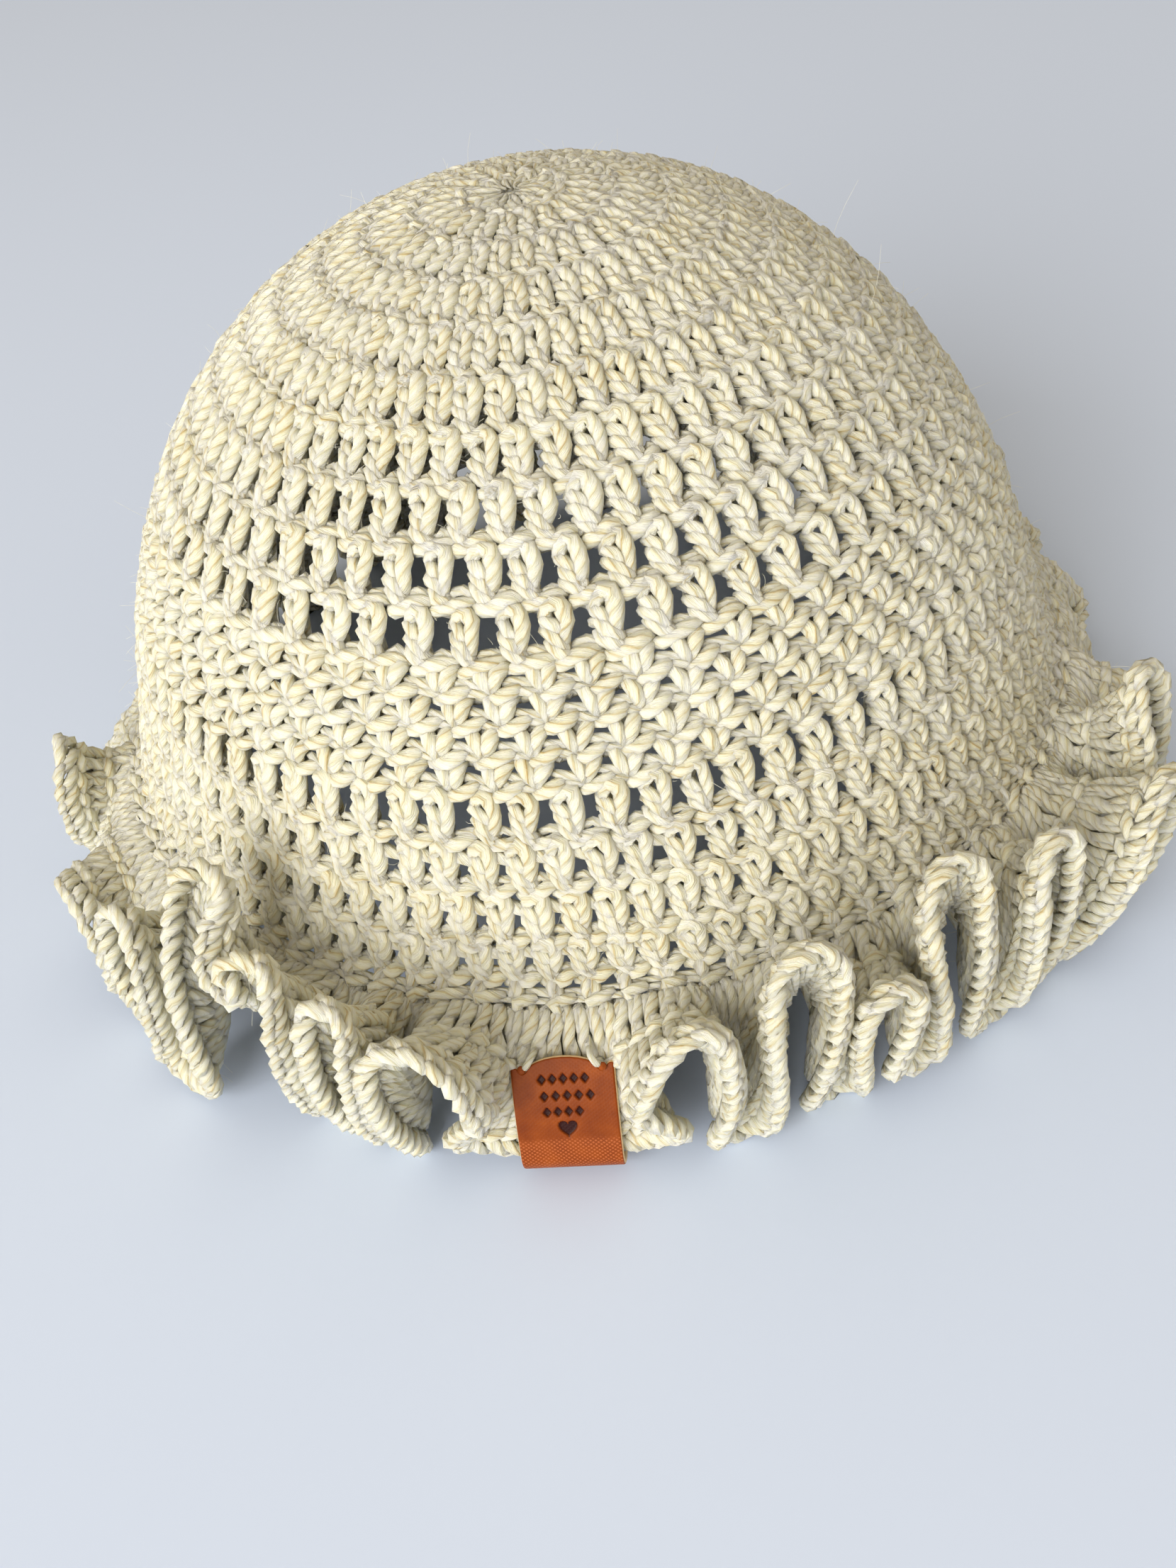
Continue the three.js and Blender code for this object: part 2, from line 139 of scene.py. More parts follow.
# Rounds of the crown: kind of stitch, number of stitches, and the shares of the dome's line
# between which the round lies
TOP_ROUNDS = (
    ("knob", 12, 0.012, 0.066), ("knob", 24, 0.066, 0.130), ("knob", 36, 0.130, 0.197),
    ("knob", 48, 0.197, 0.264), ("knob", 60, 0.264, 0.332), ("tall", 60, 0.332, 0.398),
)
TALL_ROUNDS = (
    ("tall", 60, 0.398, 0.461), ("tall", 60, 0.461, 0.524), ("tall", 60, 0.524, 0.586),
    ("tall", 60, 0.586, 0.647),
)
SHORT_ROUNDS = (
    ("short", 60, 0.647, 0.681), ("short", 66, 0.681, 0.715), ("short", 66, 0.715, 0.749),
    ("short", 72, 0.749, 0.783),
)
LOW_ROUNDS = (("tall", 76, 0.783, 0.842), ("close", 84, 0.842, 0.900))
RIM_ROUNDS = (("close", 90, 0.900, 0.957), ("close", 96, 0.957, 1.0))

# Stitches as yarn paths. Each row is a control point: sideways in yarn radii, sideways in
# stitch pitches, down the round as a share of its height, out of the cloth in yarn radii, and
# the yarn's thickness there as a share of its radius. The last two values of a path are its
# samples and its sides.
TALL_STITCH = (
    (((-0.9, 0, 0.30, -0.2, 0.7), (-1.15, 0, 0.12, 0.6, 0.95), (-0.5, 0, -0.03, 1.1, 1.05),
      (0.5, 0, -0.03, 1.2, 1.08), (1.05, 0, 0.13, 1.2, 1.08), (1.1, 0, 0.36, 1.1, 1.0),
      (0.8, 0, 0.56, 0.95, 0.95), (0.4, 0, 0.76, 0.6, 0.85), (0.1, 0, 0.93, -0.3, 0.7)), 11, 6),
    (((-1.5, 0, 0.18, -0.3, 0.7), (-1.2, 0, 0.23, 0.7, 0.85), (-0.4, 0, 0.35, 1.1, 0.9),
      (0.4, 0, 0.50, 0.7, 0.8), (0.8, 0, 0.60, -0.1, 0.7)), 5, 6),
    (((-1.55, 0, 0.40, -0.3, 0.7), (-1.2, 0, 0.45, 0.7, 0.85), (-0.3, 0, 0.57, 1.15, 0.92),
      (0.6, 0, 0.73, 0.9, 0.85), (1.1, 0, 0.84, 0.1, 0.7)), 5, 6),
    (((-1.4, 0, 0.61, -0.2, 0.65), (-1.1, 0, 0.67, 0.6, 0.8), (-0.1, 0, 0.79, 1.0, 0.88),
      (1.0, 0, 0.90, 0.9, 0.85), (1.9, 0, 0.93, 0.2, 0.7)), 5, 6),
    (((-0.6, 0, 0.80, 0.0, 0.6), (-1.9, 0, 0.73, 0.2, 0.62), (0, -0.5, 0.69, 0.3, 0.6),
      (1.9, -1, 0.74, 0.1, 0.6), (1.0, -1, 0.80, -0.3, 0.55)), 5, 5),
    (((-1.2, 0, 1.03, -0.1, 0.75), (-0.2, 0, 1.00, 0.6, 0.98), (1.6, 0, 0.94, 1.05, 1.05),
      (0, 0.5, 0.88, 1.0, 1.0), (-1.7, 1, 0.84, 0.4, 0.85), (-0.9, 1, 0.86, -0.4, 0.7)), 7, 6),
    (((0, -0.5, 1.0, -0.9, 0.8), (0, -0.17, 0.95, -1.1, 0.85), (0, 0.17, 1.03, -1.0, 0.85),
      (0, 0.5, 1.0, -0.9, 0.8)), 4, 4),
    (((0, 0, 0.0, -0.5, 0.8), (-0.6, 0, 0.3, -0.95, 0.9), (0.4, 0, 0.7, -0.95, 0.9),
      (0, 0, 1.0, -0.6, 0.8)), 4, 4),
)
# A closer stitch has one more strand, from its top across to the next post
CLOSE_STITCH = TALL_STITCH + (
    (((0.8, 0, 0.08, 0.2, 0.8), (0, 0.28, 0.16, 0.6, 1.0), (0, 0.58, 0.25, 0.4, 0.95),
      (-1.0, 1, 0.36, -0.3, 0.75)), 5, 5),
)
SHORT_STITCH = (
    (((-1.7, 0, -0.10, -0.1, 0.75), (-1.1, 0, 0.06, 0.9, 0.98), (-0.5, 0, 0.38, 1.2, 1.0),
      (-0.1, 0, 0.70, 0.5, 0.75)), 5, 6),
    (((1.9, 0, -0.08, -0.1, 0.75), (1.35, 0, 0.08, 0.9, 1.0), (0.7, 0, 0.36, 1.25, 1.05),
      (0.2, 0, 0.70, 0.5, 0.75)), 5, 6),
    (((0.4, 0, 0.56, 0.5, 0.6), (-1.6, 0, 0.50, 0.7, 0.62), (0, -0.55, 0.40, 0.6, 0.6),
      (1.4, -1, 0.44, 0.1, 0.55)), 5, 5),
    (((0.3, 0, 0.80, 0.4, 0.6), (-1.6, 0, 0.78, 0.7, 0.62), (0, -0.55, 0.70, 0.6, 0.6),
      (1.2, -1, 0.74, 0.0, 0.55)), 5, 5),
    (((-0.9, 0, 1.06, -0.1, 0.75), (0.3, 0, 0.98, 0.9, 1.0), (1.9, 0, 0.82, 1.2, 1.05),
      (0, 0.5, 0.66, 0.8, 0.9), (0.8, 0.5, 0.60, 0.0, 0.7)), 6, 6),
    (((0, -0.5, 1.0, -0.8, 0.85), (0, 0.0, 0.92, -1.05, 0.9), (0, 0.5, 1.0, -0.8, 0.85)), 4, 4),
    (((0, 0, 0.0, -0.6, 0.9), (0.3, 0, 0.5, -0.9, 0.95), (0, 0, 1.0, -0.6, 0.9)), 4, 4),
)
FAN_STITCH = (
    (((0, -0.10, 0.00, 0.1, 0.75), (0, 0.26, 0.14, 0.8, 0.95), (0, 0.10, 0.42, 1.1, 1.0),
      (0, -0.24, 0.70, 0.7, 0.95), (0, 0.05, 0.94, 0.1, 0.75)), 6, 5),
    (((0, 0.12, 0.02, 0.1, 0.75), (0, -0.28, 0.16, 0.7, 0.95), (0, -0.12, 0.45, 0.5, 0.95),
      (0, 0.28, 0.72, 0.9, 1.0), (0, 0.20, 0.92, 0.5, 0.85)), 6, 5),
    (((0, -0.50, 0.97, -0.1, 0.8), (0, -0.15, 0.99, 1.0, 1.1), (0, 0.30, 0.90, 1.25, 1.1),
      (0, 0.62, 0.95, 0.0, 0.8)), 5, 5),
    (((0, 0.05, 0.00, -0.1, 0.75), (0, 0.28, 0.2, -0.8, 0.95), (0, -0.2, 0.6, -1.0, 1.0),
      (0, 0.05, 0.97, -0.3, 0.8)), 5, 4),
    (((0, -0.30, 0.05, -0.1, 0.75), (0, -0.30, 0.4, -0.8, 0.95), (0, 0.3, 0.8, -0.95, 0.95),
      (0, 0.5, 1.0, -0.4, 0.8)), 5, 4),
)
EDGE_STITCH = (
    (((0, -0.65, 0.15, -0.2, 0.7), (0, -0.25, 0.15, 0.75, 1.0), (0, 0.30, 0.55, 0.85, 1.05),
      (0, 0.80, 0.85, 0.0, 0.75)), 5, 5),
    (((0, -0.65, 0.75, 0.3, 0.7), (0, -0.2, 0.95, -0.1, 1.0), (0, 0.35, 0.70, -0.75, 1.05),
      (0, 0.75, 0.25, -0.5, 0.75)), 5, 5),
)

# Rounds of the ruffle for each piece: the stitch, how many there are, the share of the brim's
# width at which they are spaced evenly, and the shares between which the round lies
BRIM_ROUNDS = (
    ("brim_inner_round", ((SHORT_STITCH, 96, 0.1, 0.0, 0.17), (FAN_STITCH, 288, 0.36, 0.16, 0.57))),
    ("brim_outer_round", ((FAN_STITCH, 576, 0.8, 0.57, 1.0),)),
)
EDGING_STITCHES = 768

# Seeds of the chance draws. The crown's and the brim's are counted on for each piece.
CROWN_SEED = 7
BRIM_SEED = 40
EDGING_SEED = 60
TAG_SEED = 70
FIBRES_SEED = 90

# Chance differences between stitches: the spread of each of a control point's five columns
CROWN_CHANCE = (0.13, 0.0, 0.022, 0.09, 0.05)
RUFFLE_CHANCE = (0.0, 0.06, 0.025, 0.12, 0.06)
# Spread of a stitch's place as a share of the pitch, its usual lean and the lean's spread in yarn
# radii, the spread of its thickness, and how far a round wanders up and down as a share of its
# height
PLACE_CHANCE = 0.035
USUAL_LEAN = 0.05
LEAN_CHANCE = 0.05
THICKNESS_CHANCE = 0.05
ROUND_WANDER = 0.02
# How far a yarn's end is drawn out to its point, and the steps in which the ruffle's edge is
# measured to space its stitches
END_REACH = 0.6
EDGE_STEPS = 6000
# A crown stitch's half width as a share of its pitch, where the pitch is too small for full yarn
STITCH_FILL = 0.27
# The coil at the dome's top: its turns, its samples, the shares of the dome's line between which
# it lies, and its lift and thickness in yarn radii
COIL_TURNS = 1.35
COIL_SAMPLES = 28
COIL_SHARES = (0.004, 0.017)
COIL_LIFT = 0.1
COIL_THICKNESS = 0.75

# Loose fibres: the share of them on the crown, and on the ruffle the share on its upper side;
# how far out they start, as a share of the yarn's radius; their usual length and the longest
# ones' extra; and their radius
FIBRES_ON_CROWN = 0.65
FIBRES_ON_UPPER_SIDE = 0.7
FIBRE_ROOT = 0.9
FIBRE_LENGTH = 1.2 * MM
FIBRE_EXTRA_LENGTH = 3.8 * MM
FIBRE_RADIUS = 0.028 * MM
FIBRE_SAMPLES = 5


def linear(hex_colour):
    """An sRGB hex colour as linear light, opaque."""
    parts = [int(hex_colour[i:i + 2], 16) / 255 for i in (1, 3, 5)]
    flat = [c / 12.92 if c <= 0.04045 else ((c + 0.055) / 1.055) ** 2.4 for c in parts]
    return (*flat, 1.0)


def unit(vectors):
    """Vectors divided by their lengths."""
    return vectors / np.maximum(np.linalg.norm(vectors, axis=-1, keepdims=True), 1e-12)


def crown_line(share):
    """The dome's middle line: radius and height are the sine and cosine of an angle, each raised
    to the same power, and near the rim the radius grows by a flare."""
    angle = CROWN_SPAN * share
    power = 2 / CROWN_SQUARENESS
    flare = np.clip((share - FLARE_START) / (1 - FLARE_START), 0, None)
    drop = CROWN_RISE * math.cos(CROWN_SPAN) ** power
    radius = CROWN_RADIUS * np.sin(angle) ** power + FLARE * flare ** FLARE_POWER
    return radius, RIM_HEIGHT + CROWN_RISE * np.cos(angle) ** power - drop


RIM_RADIUS = float(crown_line(np.float64(1.0))[0])


def crown_place(angle, share, lift):
    """Points and outward normals on the dome: the middle line at a share of its length, turned
    to an angle and moved out by the lift."""
    share = np.clip(share, 0.001, 1.02)
    step = 0.002
    radius, height = crown_line(share)
    before = crown_line(share - step / 2)
    after = crown_line(share + step / 2)
    along = unit(np.stack((after[0] - before[0], after[1] - before[1]), -1))
    normal = np.stack((-along[..., 1] * np.cos(angle), -along[..., 1] * np.sin(angle),
                       along[..., 0]), -1)
    point = np.stack((radius * np.cos(angle), radius * np.sin(angle), height), -1)
    return point + normal * lift[..., None], normal


def fold_angle(row):
    """The rim angle of a row of the fold table in degrees, carried on past the table's end."""
    return FOLDS[row % TURNS, 0] + 360 * (row // TURNS)


def fold(turn):
    """The rim angle and the free edge's place at a turn number: even turns are crests and odd
    ones dips. Between two rows the angle follows a cubic and the place a cosine blend, which
    is then lengthened where the fold is shallow."""
    first = np.floor(turn).astype(int)
    part = turn - first
    before, start, end, beyond = (fold_angle(first + i) for i in (-1, 0, 1, 2))
    slope = np.minimum((end - before) / 2, STEEPEST_TURN * (end - start))
    slope_next = np.minimum((beyond - start) / 2, STEEPEST_TURN * (end - start))
    angle = (start * (2 * part ** 3 - 3 * part ** 2 + 1)
             + slope * (part ** 3 - 2 * part ** 2 + part)
             + end * (3 * part ** 2 - 2 * part ** 3)
             + slope_next * (part ** 3 - part ** 2))
    blend = ((1 - np.cos(np.pi * part)) / 2)[..., None]
    here, after = FOLDS[first % TURNS], FOLDS[(first + 1) % TURNS]
    edge = here[..., 1:4] * (1 - blend) + after[..., 1:4] * blend
    edge = edge * np.linalg.norm(edge, axis=-1, keepdims=True) ** -BRIM_FULLNESS
    edge[..., 2] += np.where(part < 0.5, here[..., 4], after[..., 4]) * np.sin(2 * np.pi * part)
    return np.radians(angle), edge


def brim_middle(turn, share):
    """The ruffle's middle surface: a strip leaves the rim at the start slope and bends towards
    the free edge's place as its share grows."""
    angle, edge = fold(turn)
    bend = np.maximum(share, 0) ** BRIM_BEND
    first = share - bend
    out = BRIM_WIDTH * (math.cos(START_SLOPE) * first + edge[..., 0] * bend)
    up = BRIM_WIDTH * (-math.sin(START_SLOPE) * first + edge[..., 1] * bend)
    side = BRIM_WIDTH * edge[..., 2] * bend
    radius = RIM_RADIUS + out
    return np.stack((radius * np.cos(angle) - side * np.sin(angle),
                     radius * np.sin(angle) + side * np.cos(angle), RIM_HEIGHT + up), -1)


def brim_axes(turn, share):
    """The ruffle's own axes: along the edge, across towards it, and the outward normal."""
    step = 0.01
    along = unit(brim_middle(turn + step, share) - brim_middle(turn - step, share))
    down = brim_middle(turn, share + step) - brim_middle(turn, np.maximum(share - step, 0))
    normal = unit(np.cross(down, along))
    return along, np.cross(along, normal), normal


def brim_place(turn, share, lift):
    """Points and normals on the ruffle, moved out by the lift."""
    normal = brim_axes(turn, np.clip(share, 0.02, 1.0))[2]
    return brim_middle(turn, share) + normal * lift[..., None], normal


def edging_place(turn, across, lift):
    """Points and normals on the cord: across runs from the ruffle's edge to the cord's far
    side, as a share of the cord's thickness."""
    edge = np.ones_like(turn)
    _, outward, normal = brim_axes(turn, edge)
    reach = GAP + EDGING_DIAMETER * across
    return brim_middle(turn, edge) + outward * reach[..., None] + normal * lift[..., None], normal


def even_turns(share, count, phase):
    """Turn numbers of stitches spread evenly along the ruffle at a share of its width."""
    turn = np.linspace(0, TURNS, EDGE_STEPS + 1)
    points = brim_middle(turn, np.full_like(turn, share))
    length = np.concatenate(([0], np.cumsum(np.linalg.norm(np.diff(points, axis=0), axis=1))))
    wanted = (np.arange(count + 1) + phase) / count
    wrapped = np.interp(wanted % 1.0, length / length[-1], turn)
    return wrapped + TURNS * np.floor(wanted)


def spline(count, samples):
    """Weights that turn control points into samples of a smooth path through them: between two
    control points the path is the cubic whose slopes are half the difference of their
    neighbours."""
    place = np.linspace(0, count - 1, samples)
    first = np.minimum(place.astype(int), count - 2)
    w = place - first
    weights = np.zeros((samples, count))
    rows = np.arange(samples)
    cubic = ((-w ** 3 + 2 * w ** 2 - w) / 2, (3 * w ** 3 - 5 * w ** 2 + 2) / 2,
             (-3 * w ** 3 + 4 * w ** 2 + w) / 2, (w ** 3 - w ** 2) / 2)
    for offset, value in zip((-1, 0, 1, 2), cubic):
        np.add.at(weights, (rows, np.clip(first + offset, 0, count - 1)), value)
    return weights


def tubes(centre, normal, radius, sides, rng):
    """Closed yarns: a circle is carried along each path, square to it, and both ends are drawn
    to a point. Returns points, quads, triangles, and for each corner its place around and
    along the yarn, with one random tone for each yarn."""
    count, samples, _ = centre.shape
    run = unit(np.gradient(centre, axis=1))
    side = unit(np.cross(run, normal))
    up = np.cross(side, run)
    turn = 2 * np.pi * np.arange(sides) / sides
    ring = (np.cos(turn)[:, None] * side[:, :, None] + np.sin(turn)[:, None] * up[:, :, None])
    ring = centre[:, :, None] + radius[:, :, None, None] * ring
    ends = np.stack((centre[:, 0] - run[:, 0] * radius[:, :1] * END_REACH,
                     centre[:, -1] + run[:, -1] * radius[:, -1:] * END_REACH), 1)
    points = np.concatenate((ring.reshape(count, -1, 3), ends), 1)
    i, j = np.meshgrid(np.arange(samples - 1), np.arange(sides), indexing="ij")
    k = (j + 1) % sides
    quad = np.stack((i * sides + j, i * sides + k, (i + 1) * sides + k, (i + 1) * sides + j), -1)
    quad = quad.reshape(-1, 4)
    j = np.arange(sides)
    k = (j + 1) % sides
    last = (samples - 1) * sides
    start = np.stack((k, j, np.full(sides, samples * sides)), -1)
    finish = np.stack((last + j, last + k, np.full(sides, samples * sides + 1)), -1)
    cap = np.concatenate((start, finish))
    stride = samples * sides + 2
    base = (np.arange(count) * stride)[:, None, None]
    length = np.cumsum(np.linalg.norm(np.diff(centre, axis=1, prepend=centre[:, :1]), axis=2), 1)
    length = length + rng.uniform(0, 0.05, (count, 1))
    around = np.arange(sides) / sides
    j, i = np.tile(np.arange(sides), samples - 1), np.repeat(np.arange(samples - 1), sides)
    quad_u = np.stack((around[j], around[j] + 1 / sides, around[j] + 1 / sides, around[j]), -1)
    quad_v = np.stack((length[:, i], length[:, i], length[:, i + 1], length[:, i + 1]), -1)
    cap_u = np.concatenate((np.stack((around + 1 / sides, around, around), -1),
                            np.stack((around, around + 1 / sides, around), -1)))
    cap_v = np.concatenate((np.repeat(length[:, :1], sides, 1),
                            np.repeat(length[:, -1:], sides, 1)), 1)
    cap_v = np.repeat(cap_v[:, :, None], 3, 2)
    quad_uv = np.stack((np.broadcast_to(quad_u, quad_v.shape), quad_v), -1)
    cap_uv = np.stack((np.broadcast_to(cap_u, cap_v.shape), cap_v), -1)
    tone = np.repeat(rng.uniform(0, 1, count), stride)
    return (points.reshape(-1, 3), (quad + base).reshape(-1, 4), (cap + base).reshape(-1, 3),
            quad_uv.reshape(-1, 2), cap_uv.reshape(-1, 2), tone)


def put_mesh(name, points, quads, triangles, quad_uv, triangle_uv, attributes):
    """A mesh object from whole arrays, smooth, with a UV map and named values for each point."""
    mesh = bpy.data.meshes.new(name)
    mesh.vertices.add(len(points))
    mesh.vertices.foreach_set("co", np.ascontiguousarray(points, np.float32).ravel())
    corners = np.concatenate((quads.ravel(), triangles.ravel())).astype(np.int32)
    mesh.loops.add(len(corners))
    mesh.loops.foreach_set("vertex_index", corners)
    starts = np.concatenate((np.arange(len(quads)) * 4,
                             len(quads) * 4 + np.arange(len(triangles)) * 3))
    mesh.polygons.add(len(starts))
    mesh.polygons.foreach_set("loop_start", starts.astype(np.int32))
    mesh.update(calc_edges=True)
    mesh.polygons.foreach_set("use_smooth", np.ones(len(starts), bool))
    layer = mesh.uv_layers.new(name="yarn")
    flat = np.concatenate((quad_uv, triangle_uv)).astype(np.float32)
    layer.data.foreach_set("uv", flat.ravel())
    for label, values in attributes.items():
        mesh.attributes.new(label, "FLOAT", "POINT").data.foreach_set(
            "value", values.astype(np.float32))
    mesh.validate()
    piece = bpy.data.objects.new(name, mesh)
    bpy.context.scene.collection.objects.link(piece)
    return piece


def join(parts):
    """Several groups of tubes as one set of arrays."""
    offsets = np.cumsum([0] + [len(part[0]) for part in parts[:-1]])
    points = np.concatenate([part[0] for part in parts])
    quads = np.concatenate([part[1] + offset for part, offset in zip(parts, offsets)])
    triangles = np.concatenate([part[2] + offset for part, offset in zip(parts, offsets)])
    return (points, quads, triangles,
            *(np.concatenate([part[i] for part in parts]) for i in (3, 4, 5)))


def above_floor(points):
    """Points kept on or above the surface that the hat rests on."""
    points[:, 2] = np.maximum(points[:, 2], 0.02 * MM)
    return points


def yarn_piece(name, parts, material):
    """A piece from groups of tubes, with its material. It rides on the hat's one body."""
    points, quads, triangles, quad_uv, cap_uv, tone = join(parts)
    piece = put_mesh(name, above_floor(points), quads, triangles, quad_uv, cap_uv,
                     {"tone": tone})
    piece.data.materials.append(material)
    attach(piece, "root")
    return piece


def stitch_paths(path, samples, count, chance, rng):
    """One path of a stitch for each stitch of a round: its control points, moved by chance, as
    samples of the smooth path through them."""
    control = np.array(path)[None] + rng.normal(0, 1, (count, len(path), 5)) * chance
    return np.einsum("sc,kcd->ksd", spline(len(path), samples), control)


def crown_round(kind, count, top, bottom, phase, yarn, rng):
    """One round of the crown: the stitch's paths, repeated at even angles with small chance
    differences in place, lean and thickness."""
    stitch = {"short": SHORT_STITCH, "close": CLOSE_STITCH}.get(kind, TALL_STITCH)
    pitch = 2 * np.pi / count
    centre = (np.arange(count) + phase) * pitch + rng.normal(0, PLACE_CHANCE * pitch, count)
    wave = rng.uniform(0, 2 * np.pi, 3)
    sway = sum(np.sin(centre * n + w) for n, w in zip((2, 5, 9), wave)) * ROUND_WANDER
    lean = rng.normal(USUAL_LEAN, LEAN_CHANCE, count)
    size = rng.normal(1, THICKNESS_CHANCE, count)
    parts = []
    for path, samples, sides in stitch:
        path_points = stitch_paths(path, samples, count, CROWN_CHANCE, rng)
        share = top + (bottom - top) * (path_points[..., 2] + sway[:, None])
        radius = crown_line(np.clip(share, 0.004, 1))[0]
        width = np.minimum(1.0, STITCH_FILL * pitch * radius / yarn)
        angle = (centre[:, None] + pitch * path_points[..., 1]
                 + (path_points[..., 0] * width + lean[:, None] * 2 * path_points[..., 2]) * yarn
                 / radius)
        thick = path_points[..., 4] * size[:, None] * yarn * np.minimum(1, width * 1.15)
        points, normals = crown_place(angle, share, path_points[..., 3] * yarn)
        parts.append(tubes(points, normals, thick, sides, rng))
    return parts


def first_ring(yarn, rng):
    """The loop of yarn that the first round is worked into, coiled about the dome's top: its
    share of the dome's line grows evenly with its angle."""
    turn = np.linspace(0, 2 * np.pi * COIL_TURNS, COIL_SAMPLES)[None]
    share = np.linspace(*COIL_SHARES, COIL_SAMPLES)[None]
    points, normals = crown_place(turn, share, np.full_like(turn, COIL_LIFT * yarn))
    return tubes(points, normals, np.full_like(turn, COIL_THICKNESS * yarn), 6, rng)


def ruffle_round(stitch, place, count, row_share, top, bottom, phase, yarn, rng):
    """One round of the ruffle: the stitch's paths between even steps along the folded sheet."""
    stops = even_turns(row_share, count, phase)
    start, step = stops[:-1], np.diff(stops)
    middle = start + step / 2
    size = rng.normal(1, THICKNESS_CHANCE, count)
    parts = []
    for path, samples, sides in stitch:
        path_points = stitch_paths(path, samples, count, RUFFLE_CHANCE, rng)
        share = top + (bottom - top) * path_points[..., 2]
        turn = middle[:, None] + step[:, None] * path_points[..., 1]
        points, normals = place(turn, share, path_points[..., 3] * yarn)
        parts.append(tubes(points, normals, path_points[..., 4] * size[:, None] * yarn, sides, rng))
    return parts


def add_node(tree, kind, settings=None, inputs=None, links=None):
    """Adds a node, with its settings, its input values by name or number, and links into it."""
    node = tree.nodes.new(kind)
    for name, value in (settings or {}).items():
        setattr(node, name, value)
    for name, value in (inputs or {}).items():
        node.inputs[name].default_value = value
    for name, socket in (links or {}).items():
        tree.links.new(socket, node.inputs[name])
    return node


def ramp(node, stops):
    """Sets a colour ramp's stops from pairs of a place and a linear colour."""
    elements = node.color_ramp.elements
    while len(elements) > 1:
        elements.remove(elements[-1])
    elements[0].position, elements[0].color = stops[0]
    for place, colour in stops[1:]:
        elements.new(place).color = colour
    return node


def bare_material(name):
    """A material with an empty node tree."""
    material = bpy.data.materials.new(name)
    material.use_nodes = True
    material.node_tree.nodes.clear()
    return material, material.node_tree


